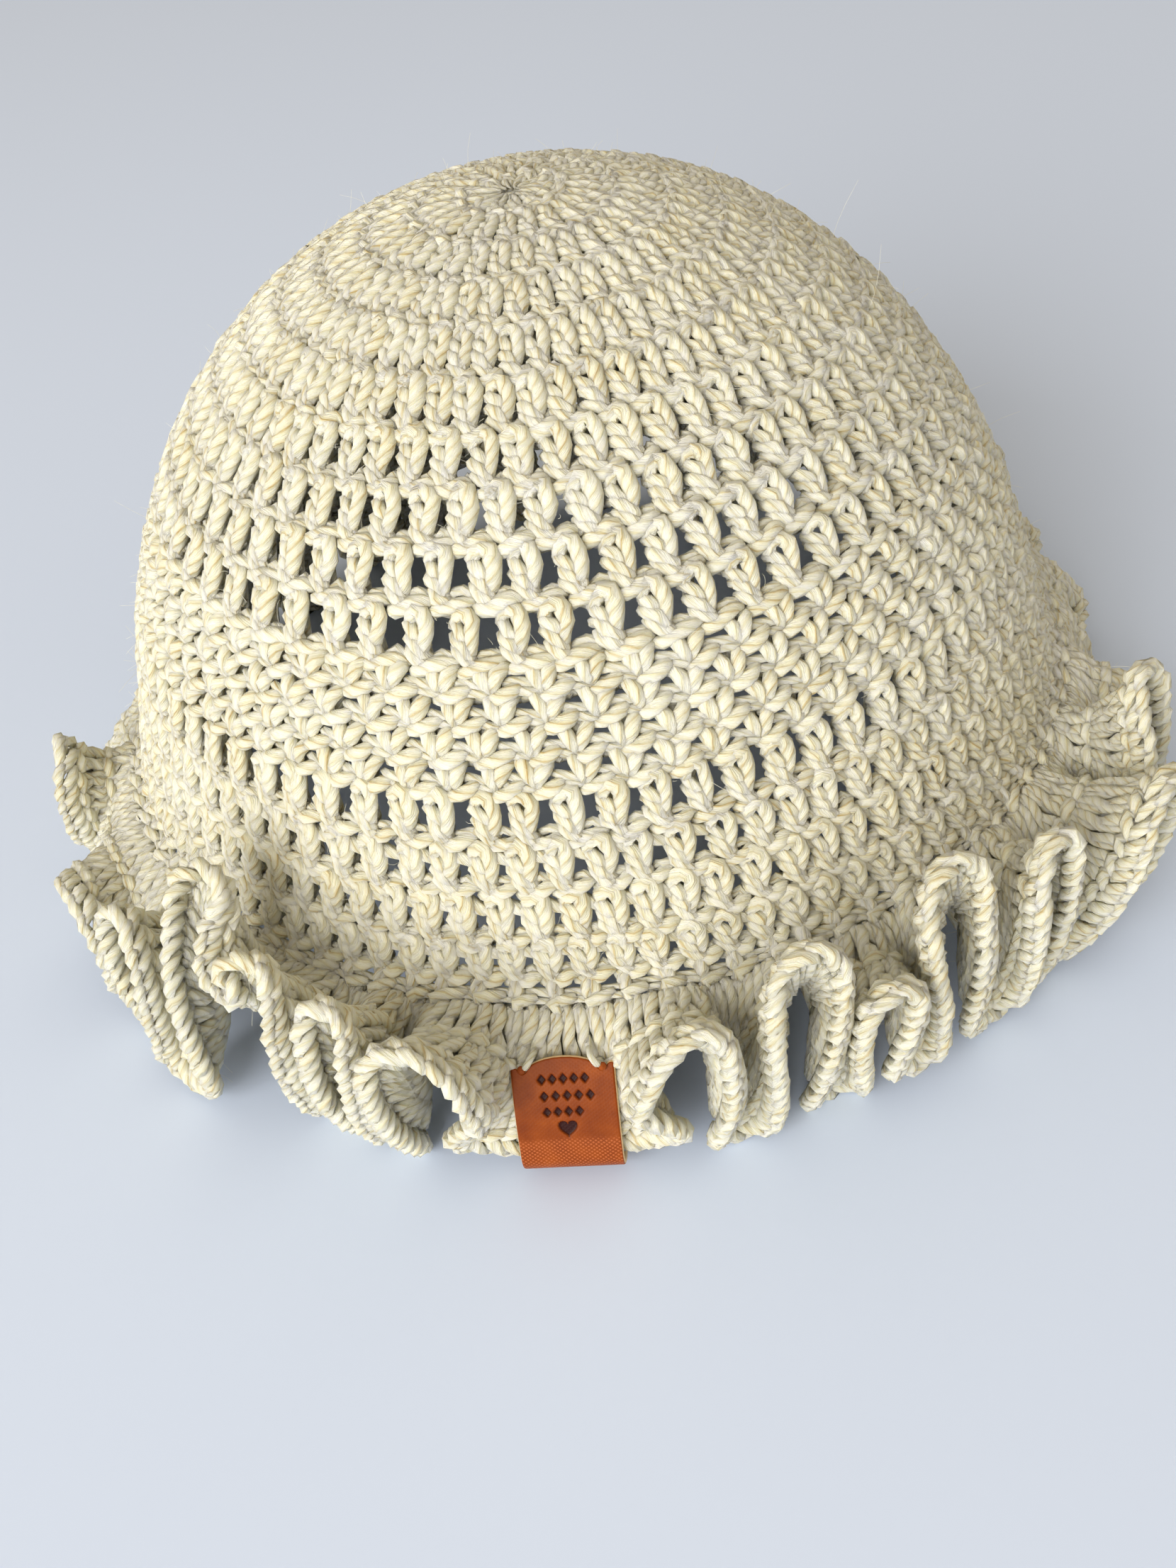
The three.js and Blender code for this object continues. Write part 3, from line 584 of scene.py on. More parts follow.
def wool_yarn(name, colours, sizes):
    """Worsted wool-blend yarn, spun from plies and loosely twisted. Each ply reads as a soft
    slanting ridge and its fibres as fine streaks along the twist. The grooves between plies are
    coloured a deeper ochre as painted shade, standing in for light that comes out of them only
    after several turns through the wool, and the fibres that stand off the yarn give it a pale
    bloom at grazing angles."""
    material, tree = bare_material(name)
    uv = add_node(tree, "ShaderNodeUVMap", {"uv_map": "yarn"})
    place = add_node(tree, "ShaderNodeSeparateXYZ", links={0: uv.outputs["UV"]})
    # Turns round the yarn, carried on by one turn for each lay length along it. The plies are
    # the humps of a sine of it, and the grooves between them stay narrow.
    twist = add_node(tree, "ShaderNodeMath", {"operation": "MULTIPLY_ADD"}, {1: 1 / sizes.lay},
                     {0: place.outputs["Y"], 2: place.outputs["X"]})
    phase = add_node(tree, "ShaderNodeMath", {"operation": "MULTIPLY"},
                     {1: math.pi * sizes.plies}, {0: twist.outputs[0]})
    wave = add_node(tree, "ShaderNodeMath", {"operation": "SINE"}, links={0: phase.outputs[0]})
    humps = add_node(tree, "ShaderNodeMath", {"operation": "ABSOLUTE"},
                     links={0: wave.outputs[0]})
    ridge = add_node(tree, "ShaderNodeMath", {"operation": "POWER"}, {1: 0.9},
                     {0: humps.outputs[0]})
    # Fibre streaks about 0.25 mm wide and 2 mm long, coarser than the real fibres so that they
    # show: noise on a cylinder that turns with the twist
    angle = add_node(tree, "ShaderNodeMath", {"operation": "MULTIPLY"}, {1: 2 * math.pi},
                     {0: twist.outputs[0]})
    cosine = add_node(tree, "ShaderNodeMath", {"operation": "COSINE"}, links={0: angle.outputs[0]})
    sine = add_node(tree, "ShaderNodeMath", {"operation": "SINE"}, links={0: angle.outputs[0]})
    along = add_node(tree, "ShaderNodeMath", {"operation": "MULTIPLY"}, {1: 90.0},
                     {0: place.outputs["Y"]})
    cylinder = add_node(tree, "ShaderNodeCombineXYZ", links={
        0: cosine.outputs[0], 1: sine.outputs[0], 2: along.outputs[0]})
    streak = add_node(tree, "ShaderNodeTexNoise", {}, {"Scale": 5.0, "Detail": 3.0,
                                                       "Roughness": 0.7},
                      {"Vector": cylinder.outputs[0]})
    # Patches of slightly different cream, 25 mm across, and a tone for each yarn. The streaks
    #     # weigh most in the colour, so that it varies within each ply. The ridge's share darkens
    #     the
    #     # grooves between plies towards the deep ochre, which is painted shade.
    coordinates = add_node(tree, "ShaderNodeTexCoord")
    patch = add_node(tree, "ShaderNodeTexNoise", {}, {"Scale": 40.0, "Detail": 2.0},
                     {"Vector": coordinates.outputs["Object"]})
    tone = add_node(tree, "ShaderNodeAttribute", {"attribute_name": "tone"})
    shade = add_node(tree, "ShaderNodeMath", {"operation": "MULTIPLY"}, {1: 0.16},
                     {0: patch.outputs["Fac"]})
    for share, source in ((0.16, tone.outputs["Fac"]), (0.56, streak.outputs["Fac"]),
                          (0.30, ridge.outputs[0])):
        shade = add_node(tree, "ShaderNodeMath", {"operation": "MULTIPLY_ADD"}, {1: share},
                         {0: source, 2: shade.outputs[0]})
    # Painted shade: the low end of the ramp is the deep ochre painted into the grooves between
    # plies
    colour = ramp(add_node(tree, "ShaderNodeValToRGB", links={0: shade.outputs[0]}), (
        (0.30, colours.wool_painted_shade), (0.52, colours.wool), (0.78, colours.wool_light)))
    height = add_node(tree, "ShaderNodeMath", {"operation": "MULTIPLY_ADD"}, {1: 1.2},
                      {0: streak.outputs["Fac"], 2: ridge.outputs[0]})
    bump = add_node(tree, "ShaderNodeBump", {}, {"Strength": 1.0, "Distance": 0.0005},
                    {"Height": height.outputs[0]})
    shader = add_node(tree, "ShaderNodeBsdfPrincipled", {}, {
        "Roughness": 0.62, "IOR": 1.54, "Specular IOR Level": 0.4, "Sheen Weight": 0.4,
        "Sheen Roughness": 0.4, "Subsurface Weight": 0.4, "Subsurface Scale": 0.0015,
        "Subsurface Radius": (1.0, 0.92, 0.5)},
        {"Base Color": colour.outputs["Color"], "Normal": bump.outputs["Normal"]})
    add_node(tree, "ShaderNodeOutputMaterial", links={"Surface": shader.outputs[0]})
    return material


class HatYarnSizes(bpy.types.PropertyGroup):
    """Sizes of the yarn."""

    thickness: bpy.props.FloatProperty(
        name="Crown yarn", description="Diameter of the yarn in the crown", default=0.0027,
        min=0.001, max=0.006, subtype="DISTANCE", unit="LENGTH")
    brim_thickness: bpy.props.FloatProperty(
        name="Brim yarn", description="Diameter of the yarn in the ruffle", default=0.0024,
        min=0.001, max=0.006, subtype="DISTANCE", unit="LENGTH")
    edging_thickness: bpy.props.FloatProperty(
        name="Edging yarn", description="Diameter of the yarn in the ruffle's edging",
        default=0.0025, min=0.001, max=0.006, subtype="DISTANCE", unit="LENGTH")
    lay: bpy.props.FloatProperty(
        name="Lay", description="Length of yarn in which a ply turns once round it",
        default=0.0105, min=0.004, max=0.05, subtype="DISTANCE", unit="LENGTH")
    plies: bpy.props.IntProperty(
        name="Plies", description="Number of plies twisted together", default=4, min=2, max=8)
    fibres: bpy.props.IntProperty(
        name="Loose fibres", description="Number of loose fibres that stand off the wool",
        default=2400, min=0, max=6000)


class HatTagSizes(bpy.types.PropertyGroup):
    """Sizes of the folded tag."""

    width: bpy.props.FloatProperty(
        name="Tag width", description="Width of the leather tag", default=0.018,
        min=0.01, max=0.04, subtype="DISTANCE", unit="LENGTH")
    length: bpy.props.FloatProperty(
        name="Tag length", description="Length of the front flap down to the fold",
        default=0.017, min=0.01, max=0.04, subtype="DISTANCE", unit="LENGTH")
    press: bpy.props.FloatProperty(
        name="Press depth", description="Depth of the pressed pattern", default=0.0004,
        min=0.0, max=0.001, subtype="DISTANCE", unit="LENGTH")


class HatColours(bpy.types.PropertyGroup):
    """Colours, each from an sRGB hex value."""

    wool_light: bpy.props.FloatVectorProperty(
        name="Wool, light", description="The raised fibres", size=4, subtype="COLOR",
        default=linear("#FAF9E8"))
    wool: bpy.props.FloatVectorProperty(
        name="Wool", description="The body of the yarn", size=4, subtype="COLOR",
        default=linear("#EFE9C9"))
    # Painted shade: the ochre painted into the grooves between plies, for light that leaves them
    # only after several turns through the wool
    wool_painted_shade: bpy.props.FloatVectorProperty(
        name="Wool, deep", description="The grooves between plies", size=4, subtype="COLOR",
        default=linear("#C6A658"))
    leather: bpy.props.FloatVectorProperty(
        name="Leather", description="The coated face of the tag", size=4, subtype="COLOR",
        default=linear("#833A03"))
    leather_edge: bpy.props.FloatVectorProperty(
        name="Leather edge", description="The cut edge and back of the tag", size=4,
        subtype="COLOR", default=linear("#E0C49A"))
    leather_pressed: bpy.props.FloatVectorProperty(
        name="Leather, pressed", description="The darkened pressed pattern", size=4,
        subtype="COLOR", default=linear("#2A0504"))
    floor: bpy.props.FloatVectorProperty(
        name="Floor", description="The pale surface under the hat", size=4, subtype="COLOR",
        default=linear("#D6E4FF"))


class HAT_OT_crown(bpy.types.Operator):
    """Builds the crown's rounds of yarn, from the top down to the brim"""

    bl_idname = "hat.crown"
    bl_label = "Crown"

    def execute(self, context):
        sizes, colours = context.scene.hat_yarn, context.scene.hat_colours
        material = wool_yarn("worsted_wool_yarn_crown", colours, sizes)
        groups = (("crown_top_rounds", TOP_ROUNDS), ("crown_tall_rounds", TALL_ROUNDS),
                  ("crown_short_rounds", SHORT_ROUNDS), ("crown_low_rounds", LOW_ROUNDS),
                  ("crown_rim_rounds", RIM_ROUNDS))
        number = 0
        for name, rounds in groups:
            rng = np.random.default_rng(CROWN_SEED + number)
            parts = []
            for kind, count, top, bottom in rounds:
                parts += crown_round(kind, count, top, bottom, 0.5 * (number % 2),
                                     sizes.thickness / 2, rng)
                number += 1
            if rounds is TOP_ROUNDS:
                parts.append(first_ring(sizes.thickness / 2, rng))
            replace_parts(yarn_piece(name, parts, material), "crown")
        return {"FINISHED"}


class HAT_OT_brim(bpy.types.Operator):
    """Builds the ruffle's rounds of yarn: a short round at the rim and two rounds of fans"""

    bl_idname = "hat.brim"
    bl_label = "Ruffled brim"

    def execute(self, context):
        sizes, colours = context.scene.hat_yarn, context.scene.hat_colours
        material = wool_yarn("worsted_wool_yarn_brim", colours, sizes)
        yarn = sizes.brim_thickness / 2
        for number, (name, rows) in enumerate(BRIM_ROUNDS):
            rng = np.random.default_rng(BRIM_SEED + number)
            parts = []
            for stitch, count, row_share, top, bottom in rows:
                parts += ruffle_round(stitch, brim_place, count, row_share, top, bottom, 0.0,
                                      yarn, rng)
            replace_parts(yarn_piece(name, parts, material), "brim")
        return {"FINISHED"}


class HAT_OT_edging(bpy.types.Operator):
    """Builds the cord of slip stitches along the ruffle's edge"""

    bl_idname = "hat.edging"
    bl_label = "Edging"

    def execute(self, context):
        sizes, colours = context.scene.hat_yarn, context.scene.hat_colours
        material = wool_yarn("worsted_wool_yarn_edging", colours, sizes)
        rng = np.random.default_rng(EDGING_SEED)
        parts = ruffle_round(EDGE_STITCH, edging_place, EDGING_STITCHES, 1.0, 0.0, 1.0, 0.0,
                             sizes.edging_thickness / 2, rng)
        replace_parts(yarn_piece("edging_cord", parts, material), "edging")
        return {"FINISHED"}


def tag_outline(share):
    """How far the front flap's top is cut down, in metres, at a share of the width from its
    middle: an arch, a round notch at each end of it, and an ear outside each notch."""
    places = (0, 0.08, 0.16, 0.23, 0.28, 0.31, 0.33, 0.345, 0.36, 0.38, 0.40, 0.415, 0.43,
              0.455, 0.48, 0.5)
    cuts = (0, 0.05, 0.24, 0.55, 0.90, 1.20, 1.75, 2.05, 2.25, 2.35, 2.25, 2.05, 1.50,
            1.20, 1.22, 1.50)
    return np.interp(np.abs(share), places, np.array(cuts) * MM)


# Rows of the pressed pattern: lozenges in the row, then in millimetres the row's distance from the
# flap's top, the step between lozenges and the row's shift sideways
PRESSED_ROWS = ((5, 3.9, 1.86, 0.0), (5, 6.9, 1.98, 0.45), (4, 9.8, 1.86, -0.5))
# Half the size of a lozenge, across and down in millimetres, and the share of it that slopes
LOZENGE = (0.88, 1.12)
PRESSED_SLOPE = 0.25
# The heart: its middle below the flap's top and its half width and height, in millimetres, and
# how high its lobes are carried
HEART_MIDDLE = 13.4
HEART_HALF = (1.75, 1.35)
HEART_LOBES = 0.8


def pressed(across, down):
    """The pressed pattern as 0 to 1, in millimetres from the top of the flap's middle: rows of
    small lozenges and a heart below them. A lozenge is where the two distances from its middle
    add up to under one. The heart is a disc whose height is carried up by the root of the
    distance from its middle line."""
    level = np.zeros_like(across)
    for count, middle, step, shift in PRESSED_ROWS:
        for i in range(count):
            x = (across - shift - (i - (count - 1) / 2) * step) / LOZENGE[0]
            y = (down - middle) / LOZENGE[1]
            lozenge = 1 - np.abs(x) - np.abs(y)
            level = np.maximum(level, np.clip(lozenge / PRESSED_SLOPE, 0, 1))
    x, y = across / HEART_HALF[0], (HEART_MIDDLE - down) / HEART_HALF[1]
    heart = 1 - x ** 2 - (y - HEART_LOBES * np.sqrt(np.abs(x))) ** 2
    return np.maximum(level, np.clip(heart / PRESSED_SLOPE, 0, 1))


# The tag hangs at the dip of its row. Its middle line stands off the ruffle's middle by one
# distance in front and another behind, and the half circle that joins them clears the edging.
TAG_TURN = np.float64(2 * TAG_FOLD + 1)
TAG_BACK_OFF = BRIM_WALL / 2 + GAP + TAG_LEATHER / 2
TAG_BEND_RADIUS = (TAG_STANDOFF + TAG_BACK_OFF) / 2
TAG_BEND_MIDDLE = 2 * GAP + EDGING_DIAMETER + TAG_LEATHER / 2 - TAG_BEND_RADIUS
# How far the flap's top right corner falls back, how wide the leather's rounded edge is, and how
# strongly the grid's columns crowd towards the sides
TAG_FALL = 0.5 * MM
TAG_ROUNDING = 0.45 * MM
TAG_CROWDING = 0.25


def tag_line(reach, off):
    """The line the tag follows along the ruffle, as distances out along the ruffle and off it
    from the free edge, for a reach up from the edge and a distance off the ruffle's middle."""
    origin = brim_middle(TAG_TURN, np.float64(1.0))
    _, outward, normal = brim_axes(TAG_TURN, np.float64(1.0))
    strip = np.linalg.norm(brim_middle(TAG_TURN, np.float64(0.0)) - origin)
    share = 1 - reach / strip
    turns = np.full_like(share, TAG_TURN)
    face = brim_axes(turns, share)[2]
    place = brim_middle(turns, share) + face * np.asarray(off)[..., None] - origin
    return np.stack((place @ outward, place @ normal), -1)


def tag_points(line, across):
    """Points in the hat's frame from places on the tag's line and distances across the tag."""
    along, outward, normal = brim_axes(TAG_TURN, np.float64(1.0))
    return (brim_middle(TAG_TURN, np.float64(1.0)) + line[..., :1] * outward
            + line[..., 1:] * normal + (TAG_SHIFT + across)[..., None] * along)


def tag_surface(sizes):
    """The folded tag as two skins on a grid: its middle line runs from the flap's cut top down
    the ruffle's face at a stand-off, round the edging in a half circle and up the back, and the
    flap's right side falls back a little. Each skin lies half the leather's thickness off that
    line, and the thickness rounds off to nothing at every edge. Returns points, flat places, how
    deep each is pressed, and how near the cut edge or back it is."""
    columns, front_rows, bend_rows, back_rows = 97, 118, 20, 12
    edge = np.linspace(-1, 1, columns)
    share = (0.5 * np.sin(edge * np.pi / 2) * TAG_CROWDING
             + 0.5 * edge * (1 - TAG_CROWDING))
    cut = tag_outline(share)
    rows = np.linspace(0, 1, front_rows)
    fall = TAG_FALL * (share[:, None] + 0.5) * (1 - rows ** 3)
    front = tag_line((sizes.length - cut - TAG_BEND_MIDDLE)[:, None] * (1 - rows),
                     TAG_STANDOFF - fall)
    half_turn = np.pi / 2 - np.pi * np.linspace(0, 1, bend_rows)
    bend = np.stack((TAG_BEND_MIDDLE + TAG_BEND_RADIUS * np.cos(half_turn),
                     (TAG_STANDOFF - TAG_BACK_OFF) / 2 + TAG_BEND_RADIUS * np.sin(half_turn)), -1)
    bend = np.broadcast_to(bend, (columns, *bend.shape))
    back = tag_line(TAG_BACK_LENGTH * np.linspace(0, 1, back_rows), -TAG_BACK_OFF)
    back = np.broadcast_to(back, (columns, *back.shape))
    line = np.concatenate((front[:, :-1], bend, back[:, 1:]), 1)
    steps = np.linalg.norm(np.diff(line, axis=1), axis=2)
    down = np.concatenate((cut[:, None], cut[:, None] + np.cumsum(steps, 1)), 1)
    run = unit(np.gradient(line, axis=1))
    off = np.stack((-run[..., 1], run[..., 0]), -1)
    across = share[:, None] * sizes.width + np.zeros_like(down)
    to_edge = np.minimum(sizes.width / 2 - np.abs(across), down - cut[:, None])
    to_edge = np.minimum(to_edge, down[:, -1:] - down)
    rounding = np.clip(to_edge / TAG_ROUNDING, 0, 1)
    half = TAG_LEATHER / 2 * np.sqrt(1 - (1 - rounding) ** 2)
    press = pressed(across / MM, down / MM) * (np.arange(line.shape[1]) < front_rows - 4)
    front_skin = tag_points(line + off * (half - press * sizes.press)[..., None], across)
    back_skin = tag_points(line - off * half[..., None], across)
    return (np.array((front_skin, back_skin)), np.stack((across, down), -1),
            np.array((press, 0 * press)), np.array((1 - rounding, np.ones_like(press))))


# The yarn that holds the tag at each upper corner: across the tag, down from the flap's top and
# off its face, in millimetres. It comes out above the arch and goes down into the notch.
TAG_THREAD = ((4.7, -0.8, -1.6), (5.1, 0.0, 0.2), (5.6, 0.7, 0.7), (6.05, 1.25, 0.6),
              (6.4, 1.6, -0.7))
THREAD_RADIUS = 0.6 * MM
# The small dome of leather left in each notch: its middle across and down, and its radius
NUB = (6.95, 1.85, 0.75)


def tag_place(across, down, lift, sizes):
    """Points at distances across the flap, down from its top and off its face."""
    line = tag_line(sizes.length - TAG_BEND_MIDDLE - down, TAG_STANDOFF + TAG_LEATHER / 2 + lift)
    return tag_points(line, across)


def tag_threads(sizes, rng):
    """Two short loops of yarn, one in each notch and the other its mirror image."""
    control = np.array((TAG_THREAD, TAG_THREAD)) * MM
    control[0, :, 0] *= -1
    path = np.einsum("sc,kcd->ksd", spline(len(TAG_THREAD), 9), control)
    points = tag_place(path[..., 0], path[..., 1], path[..., 2], sizes)
    normals = np.broadcast_to(brim_axes(TAG_TURN, np.float64(1.0))[2], points.shape)
    return tubes(points, normals, np.full(points.shape[:2], THREAD_RADIUS), 8, rng)


def tag_nubs(sizes, rng):
    """Two low domes, each a short thick tube that stands on the sheet with its ends rounded."""
    across, down, radius = np.array(NUB) * MM
    rise = np.linspace(-1, 1, 9)
    lift = (rise * 0.9 - 0.2) * radius + np.zeros((2, 1))
    side = np.array(((-1,), (1,))) * across + np.zeros((2, 9))
    points = tag_place(side, np.full_like(side, down), lift, sizes)
    normals = np.broadcast_to(brim_axes(TAG_TURN, np.float64(1.0))[0], points.shape)
    width = radius * np.sqrt(np.maximum(1 - rise ** 2, 0.004)) + np.zeros((2, 1))
    return tubes(points, normals, width, 16, rng)


def tag_leather(colours):
    """Coated split leather, embossed with a fine crossed grain and heat pressed. The coat gives
    a satin sheen that breaks up on the grain, the pressed marks go dark and glossy, and the
    raw cut edge shows pale and matt. A paler band on the grain near the bend is painted sheen."""
    material, tree = bare_material("coated_saddle_leather")
    uv = add_node(tree, "ShaderNodeUVMap", {"uv_map": "yarn"})
    # Crossed grain, 0.56 mm apart, coarser than the real 0.4 mm so that it shows
    waves = []
    for angle in (0.9, -0.9):
        turned = add_node(tree, "ShaderNodeMapping", {}, {"Rotation": (0, 0, angle)},
                          {"Vector": uv.outputs["UV"]})
        waves.append(add_node(tree, "ShaderNodeTexWave", {"wave_profile": "SIN"},
                              {"Scale": 560.0, "Distortion": 0.9},
                              {"Vector": turned.outputs["Vector"]}).outputs["Fac"])
    grain = add_node(tree, "ShaderNodeMath", {"operation": "MULTIPLY"},
                     links={0: waves[0], 1: waves[1]})
    coordinates = add_node(tree, "ShaderNodeTexCoord")
    blotch = add_node(tree, "ShaderNodeTexNoise", {}, {"Scale": 260.0, "Detail": 4.0},
                      {"Vector": coordinates.outputs["Object"]})
    pore = add_node(tree, "ShaderNodeTexNoise", {}, {"Scale": 2600.0, "Detail": 2.0},
                    {"Vector": coordinates.outputs["Object"]})
    shade = ramp(add_node(tree, "ShaderNodeValToRGB", links={0: blotch.outputs["Fac"]}), (
        (0.3, linear("#743002")), (0.55, colours.leather), (0.8, linear("#934608"))))
    press = add_node(tree, "ShaderNodeAttribute", {"attribute_name": "pressed"})
    raw = add_node(tree, "ShaderNodeAttribute", {"attribute_name": "cut_edge"})
    raw_sharp = add_node(tree, "ShaderNodeMapRange", {"interpolation_type": "SMOOTHSTEP"},
                         {"From Min": 0.55, "From Max": 0.8}, {"Value": raw.outputs["Fac"]})
    # Painted sheen: paler where it bends, from 14.6 mm below the flap's top, most on the raised
    # grain
    down = add_node(tree, "ShaderNodeSeparateXYZ", links={0: uv.outputs["UV"]})
    near_bend = add_node(tree, "ShaderNodeMapRange", {"interpolation_type": "SMOOTHSTEP"},
                         {"From Min": 0.0143, "From Max": 0.0156, "To Max": 1.3},
                         {"Value": down.outputs["Y"]})
    painted_sheen_mask = add_node(tree, "ShaderNodeMath", {"operation": "MULTIPLY", "use_clamp": True},
                    links={0: near_bend.outputs["Result"], 1: grain.outputs[0]})
    painted_sheen = add_node(tree, "ShaderNodeMix", {"data_type": "RGBA"}, {7: linear("#AB5B30")},
                    {0: painted_sheen_mask.outputs[0], 6: shade.outputs["Color"]})
    dark = add_node(tree, "ShaderNodeMix", {"data_type": "RGBA"},
                    {7: colours.leather_pressed},
                    {0: press.outputs["Fac"], 6: painted_sheen.outputs[2]})
    body = add_node(tree, "ShaderNodeMix", {"data_type": "RGBA"},
                    {7: colours.leather_edge},
                    {0: raw_sharp.outputs["Result"], 6: dark.outputs[2]})
    rough = add_node(tree, "ShaderNodeMapRange", {}, {
        "From Min": 0.0, "From Max": 1.0, "To Min": 0.46, "To Max": 0.85},
        {"Value": raw_sharp.outputs["Result"]})
    height = add_node(tree, "ShaderNodeMath", {"operation": "MULTIPLY_ADD"}, {1: 0.35},
                      {0: pore.outputs["Fac"], 2: grain.outputs[0]})
    bump = add_node(tree, "ShaderNodeBump", {}, {"Strength": 0.35, "Distance": 0.00006},
                    {"Height": height.outputs[0]})
    shader = add_node(tree, "ShaderNodeBsdfPrincipled", {}, {
        "IOR": 1.5, "Specular IOR Level": 0.15, "Coat Weight": 0.04, "Coat Roughness": 0.3},
        {"Base Color": body.outputs[2], "Roughness": rough.outputs["Result"],
         "Normal": bump.outputs["Normal"]})
    add_node(tree, "ShaderNodeOutputMaterial", links={"Surface": shader.outputs[0]})
    return material


def grid_quads(columns, rows, base, flip):
    """The faces between neighbouring points of a grid, one way round or the other."""
    i, j = np.meshgrid(np.arange(columns - 1), np.arange(rows - 1), indexing="ij")
    a = base + i * rows + j
    quads = np.stack((a, a + 1, a + rows + 1, a + rows), -1).reshape(-1, 4)
    return quads[:, ::-1] if flip else quads


def weld(piece, distance):
    """Merges points that share a place, so that a skin's two sides close along its edge."""
    mesh = bmesh.new()
    mesh.from_mesh(piece.data)
    bmesh.ops.remove_doubles(mesh, verts=mesh.verts, dist=distance)
    mesh.to_mesh(piece.data)
    mesh.free()


class HAT_OT_tag(bpy.types.Operator):
    """Builds the leather tag folded over the ruffle's edge, with its pressed pattern"""

    bl_idname = "hat.tag"
    bl_label = "Leather tag"

    def execute(self, context):
        points, flat, level, cut_edge = tag_surface(context.scene.hat_tag)
        _, columns, rows, _ = points.shape
        quads = np.concatenate((grid_quads(columns, rows, 0, False),
                                grid_quads(columns, rows, columns * rows, True)))
        uv = np.tile(flat.reshape(-1, 2), (2, 1))[quads.ravel()]
        piece = put_mesh("leather_tag", points.reshape(-1, 3), quads, np.zeros((0, 3), int), uv,
                         np.zeros((0, 2)), {"pressed": level.ravel(),
                                            "cut_edge": cut_edge.ravel()})
        weld(piece, 1e-6)
        leather = tag_leather(context.scene.hat_colours)
        piece.data.materials.append(leather)
        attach(piece, "root")
        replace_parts(piece, "label")
        rng = np.random.default_rng(TAG_SEED)
        yarn = wool_yarn("worsted_wool_yarn_tag", context.scene.hat_colours, context.scene.hat_yarn)
        for name, part, material, slot in (
                ("tag_threads", tag_threads(context.scene.hat_tag, rng), yarn, "edging_yarn"),
                ("tag_nubs", tag_nubs(context.scene.hat_tag, rng), leather, "tag_leather")):
            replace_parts(yarn_piece(name, [part], material), "label")
        return {"FINISHED"}


def crown_area():
    """The dome's area below each share of its line, from 0 to 1, with the shares."""
    share = np.linspace(0.02, 0.98, 200)
    radius, height = crown_line(share)
    step = np.hypot(np.gradient(radius), np.gradient(height))
    area = np.cumsum(radius * step)
    return area / area[-1], share


def wool_fibre(colours):
    """Single wool fibres, bleached and undyed, which catch the light as thin pale lines: matt,
    with the bloom of their scales."""
    material, tree = bare_material("loose_wool_fibre")
    shader = add_node(tree, "ShaderNodeBsdfPrincipled", {}, {
        "Base Color": colours.wool_light, "Roughness": 0.6, "IOR": 1.5, "Sheen Weight": 0.3})
    add_node(tree, "ShaderNodeOutputMaterial", links={"Surface": shader.outputs[0]})
    return material


class HAT_OT_fibres(bpy.types.Operator):
    """Scatters loose wool fibres that stand off the yarn, so that its outline looks soft"""

    bl_idname = "hat.fibres"
    bl_label = "Loose fibres"

    def execute(self, context):
        sizes, colours = context.scene.hat_yarn, context.scene.hat_colours
        rng = np.random.default_rng(FIBRES_SEED)
        crown = int(sizes.fibres * FIBRES_ON_CROWN)
        brim = sizes.fibres - crown
        # Evenly over the dome's area, then over the ruffle evenly across its width
        share = np.interp(rng.uniform(0, 1, crown), *crown_area())
        angle = rng.uniform(0, 2 * np.pi, crown)
        base, normal = crown_place(angle, share, np.full(crown, FIBRE_ROOT * sizes.thickness / 2))
        turn = rng.uniform(0, TURNS, brim)
        side = np.where(rng.uniform(0, 1, brim) < FIBRES_ON_UPPER_SIDE, 1.0, -1.0)
        # None stands up under the tag
        side = np.where(np.abs(turn - TAG_TURN) < 1, -1.0, side)
        width = rng.uniform(0.1, 1.05, brim)
        ruffle, ruffle_normal = brim_place(
            turn, width, side * FIBRE_ROOT * sizes.brim_thickness / 2)
        base = np.concatenate((base, ruffle))
        normal = np.concatenate((normal, ruffle_normal * side[:, None]))
        count = len(base)
        away = unit(normal * 0.9 + rng.normal(0, 0.75, (count, 3)))
        bend = rng.normal(0, 1.0, (count, 3))
        curl = rng.normal(0, 0.8, (count, 3))
        length = (FIBRE_LENGTH + FIBRE_EXTRA_LENGTH * rng.uniform(0, 1, count) ** 2)[:, None]
        # Each fibre is a cubic of its own chance bend and curl, and thins towards its end
        t = np.linspace(0, 1, FIBRE_SAMPLES)[None, :, None]
        path = base[:, None] + length[:, None] * (
            away[:, None] * t + bend[:, None] * 0.45 * t ** 2 + curl[:, None] * 0.45 * t ** 3)
        thick = np.full((count, FIBRE_SAMPLES), FIBRE_RADIUS) * np.linspace(
            1.2, 0.6, FIBRE_SAMPLES)
        parts = [tubes(path, np.broadcast_to(unit(rng.normal(0, 1, (count, 1, 3))),
                                             path.shape), thick, 3, rng)]
        yarn_piece("loose_fibres", parts, wool_fibre(colours))
        return {"FINISHED"}


# Half the floor's width
FLOOR_HALF = 6.0
# The room's soft light, and the lamps: place, the point each is aimed at, size in metres, power
# in watts and colour
ROOM_COLOUR = "#F7EAD4"
ROOM_STRENGTH = 0.56
LAMPS = (
    ("window", (-1.45, -2.2, 1.15), (0, 0, 0.05), 2.2, 103.0, "#FFFBF2"),
    ("fill", (0.9, -0.9, 0.6), (0, 0, 0.05), 1.0, 1.0, "#FFF0D8"),
)


def card_floor(colours):
    """Matt card, smooth and uncoated, so that light spreads evenly over it without a gloss."""
    material, tree = bare_material("matt_card_floor")
    shader = add_node(tree, "ShaderNodeBsdfPrincipled", {}, {
        "Base Color": colours.floor, "Roughness": 0.85, "IOR": 1.5})
    add_node(tree, "ShaderNodeOutputMaterial", links={"Surface": shader.outputs[0]})
    return material


def aimed(direction):
    """The Euler angles that point a light's -Z along a direction."""
    x, y, z = direction
    return (math.atan2(math.hypot(x, y), -z), 0, math.atan2(-x, y))


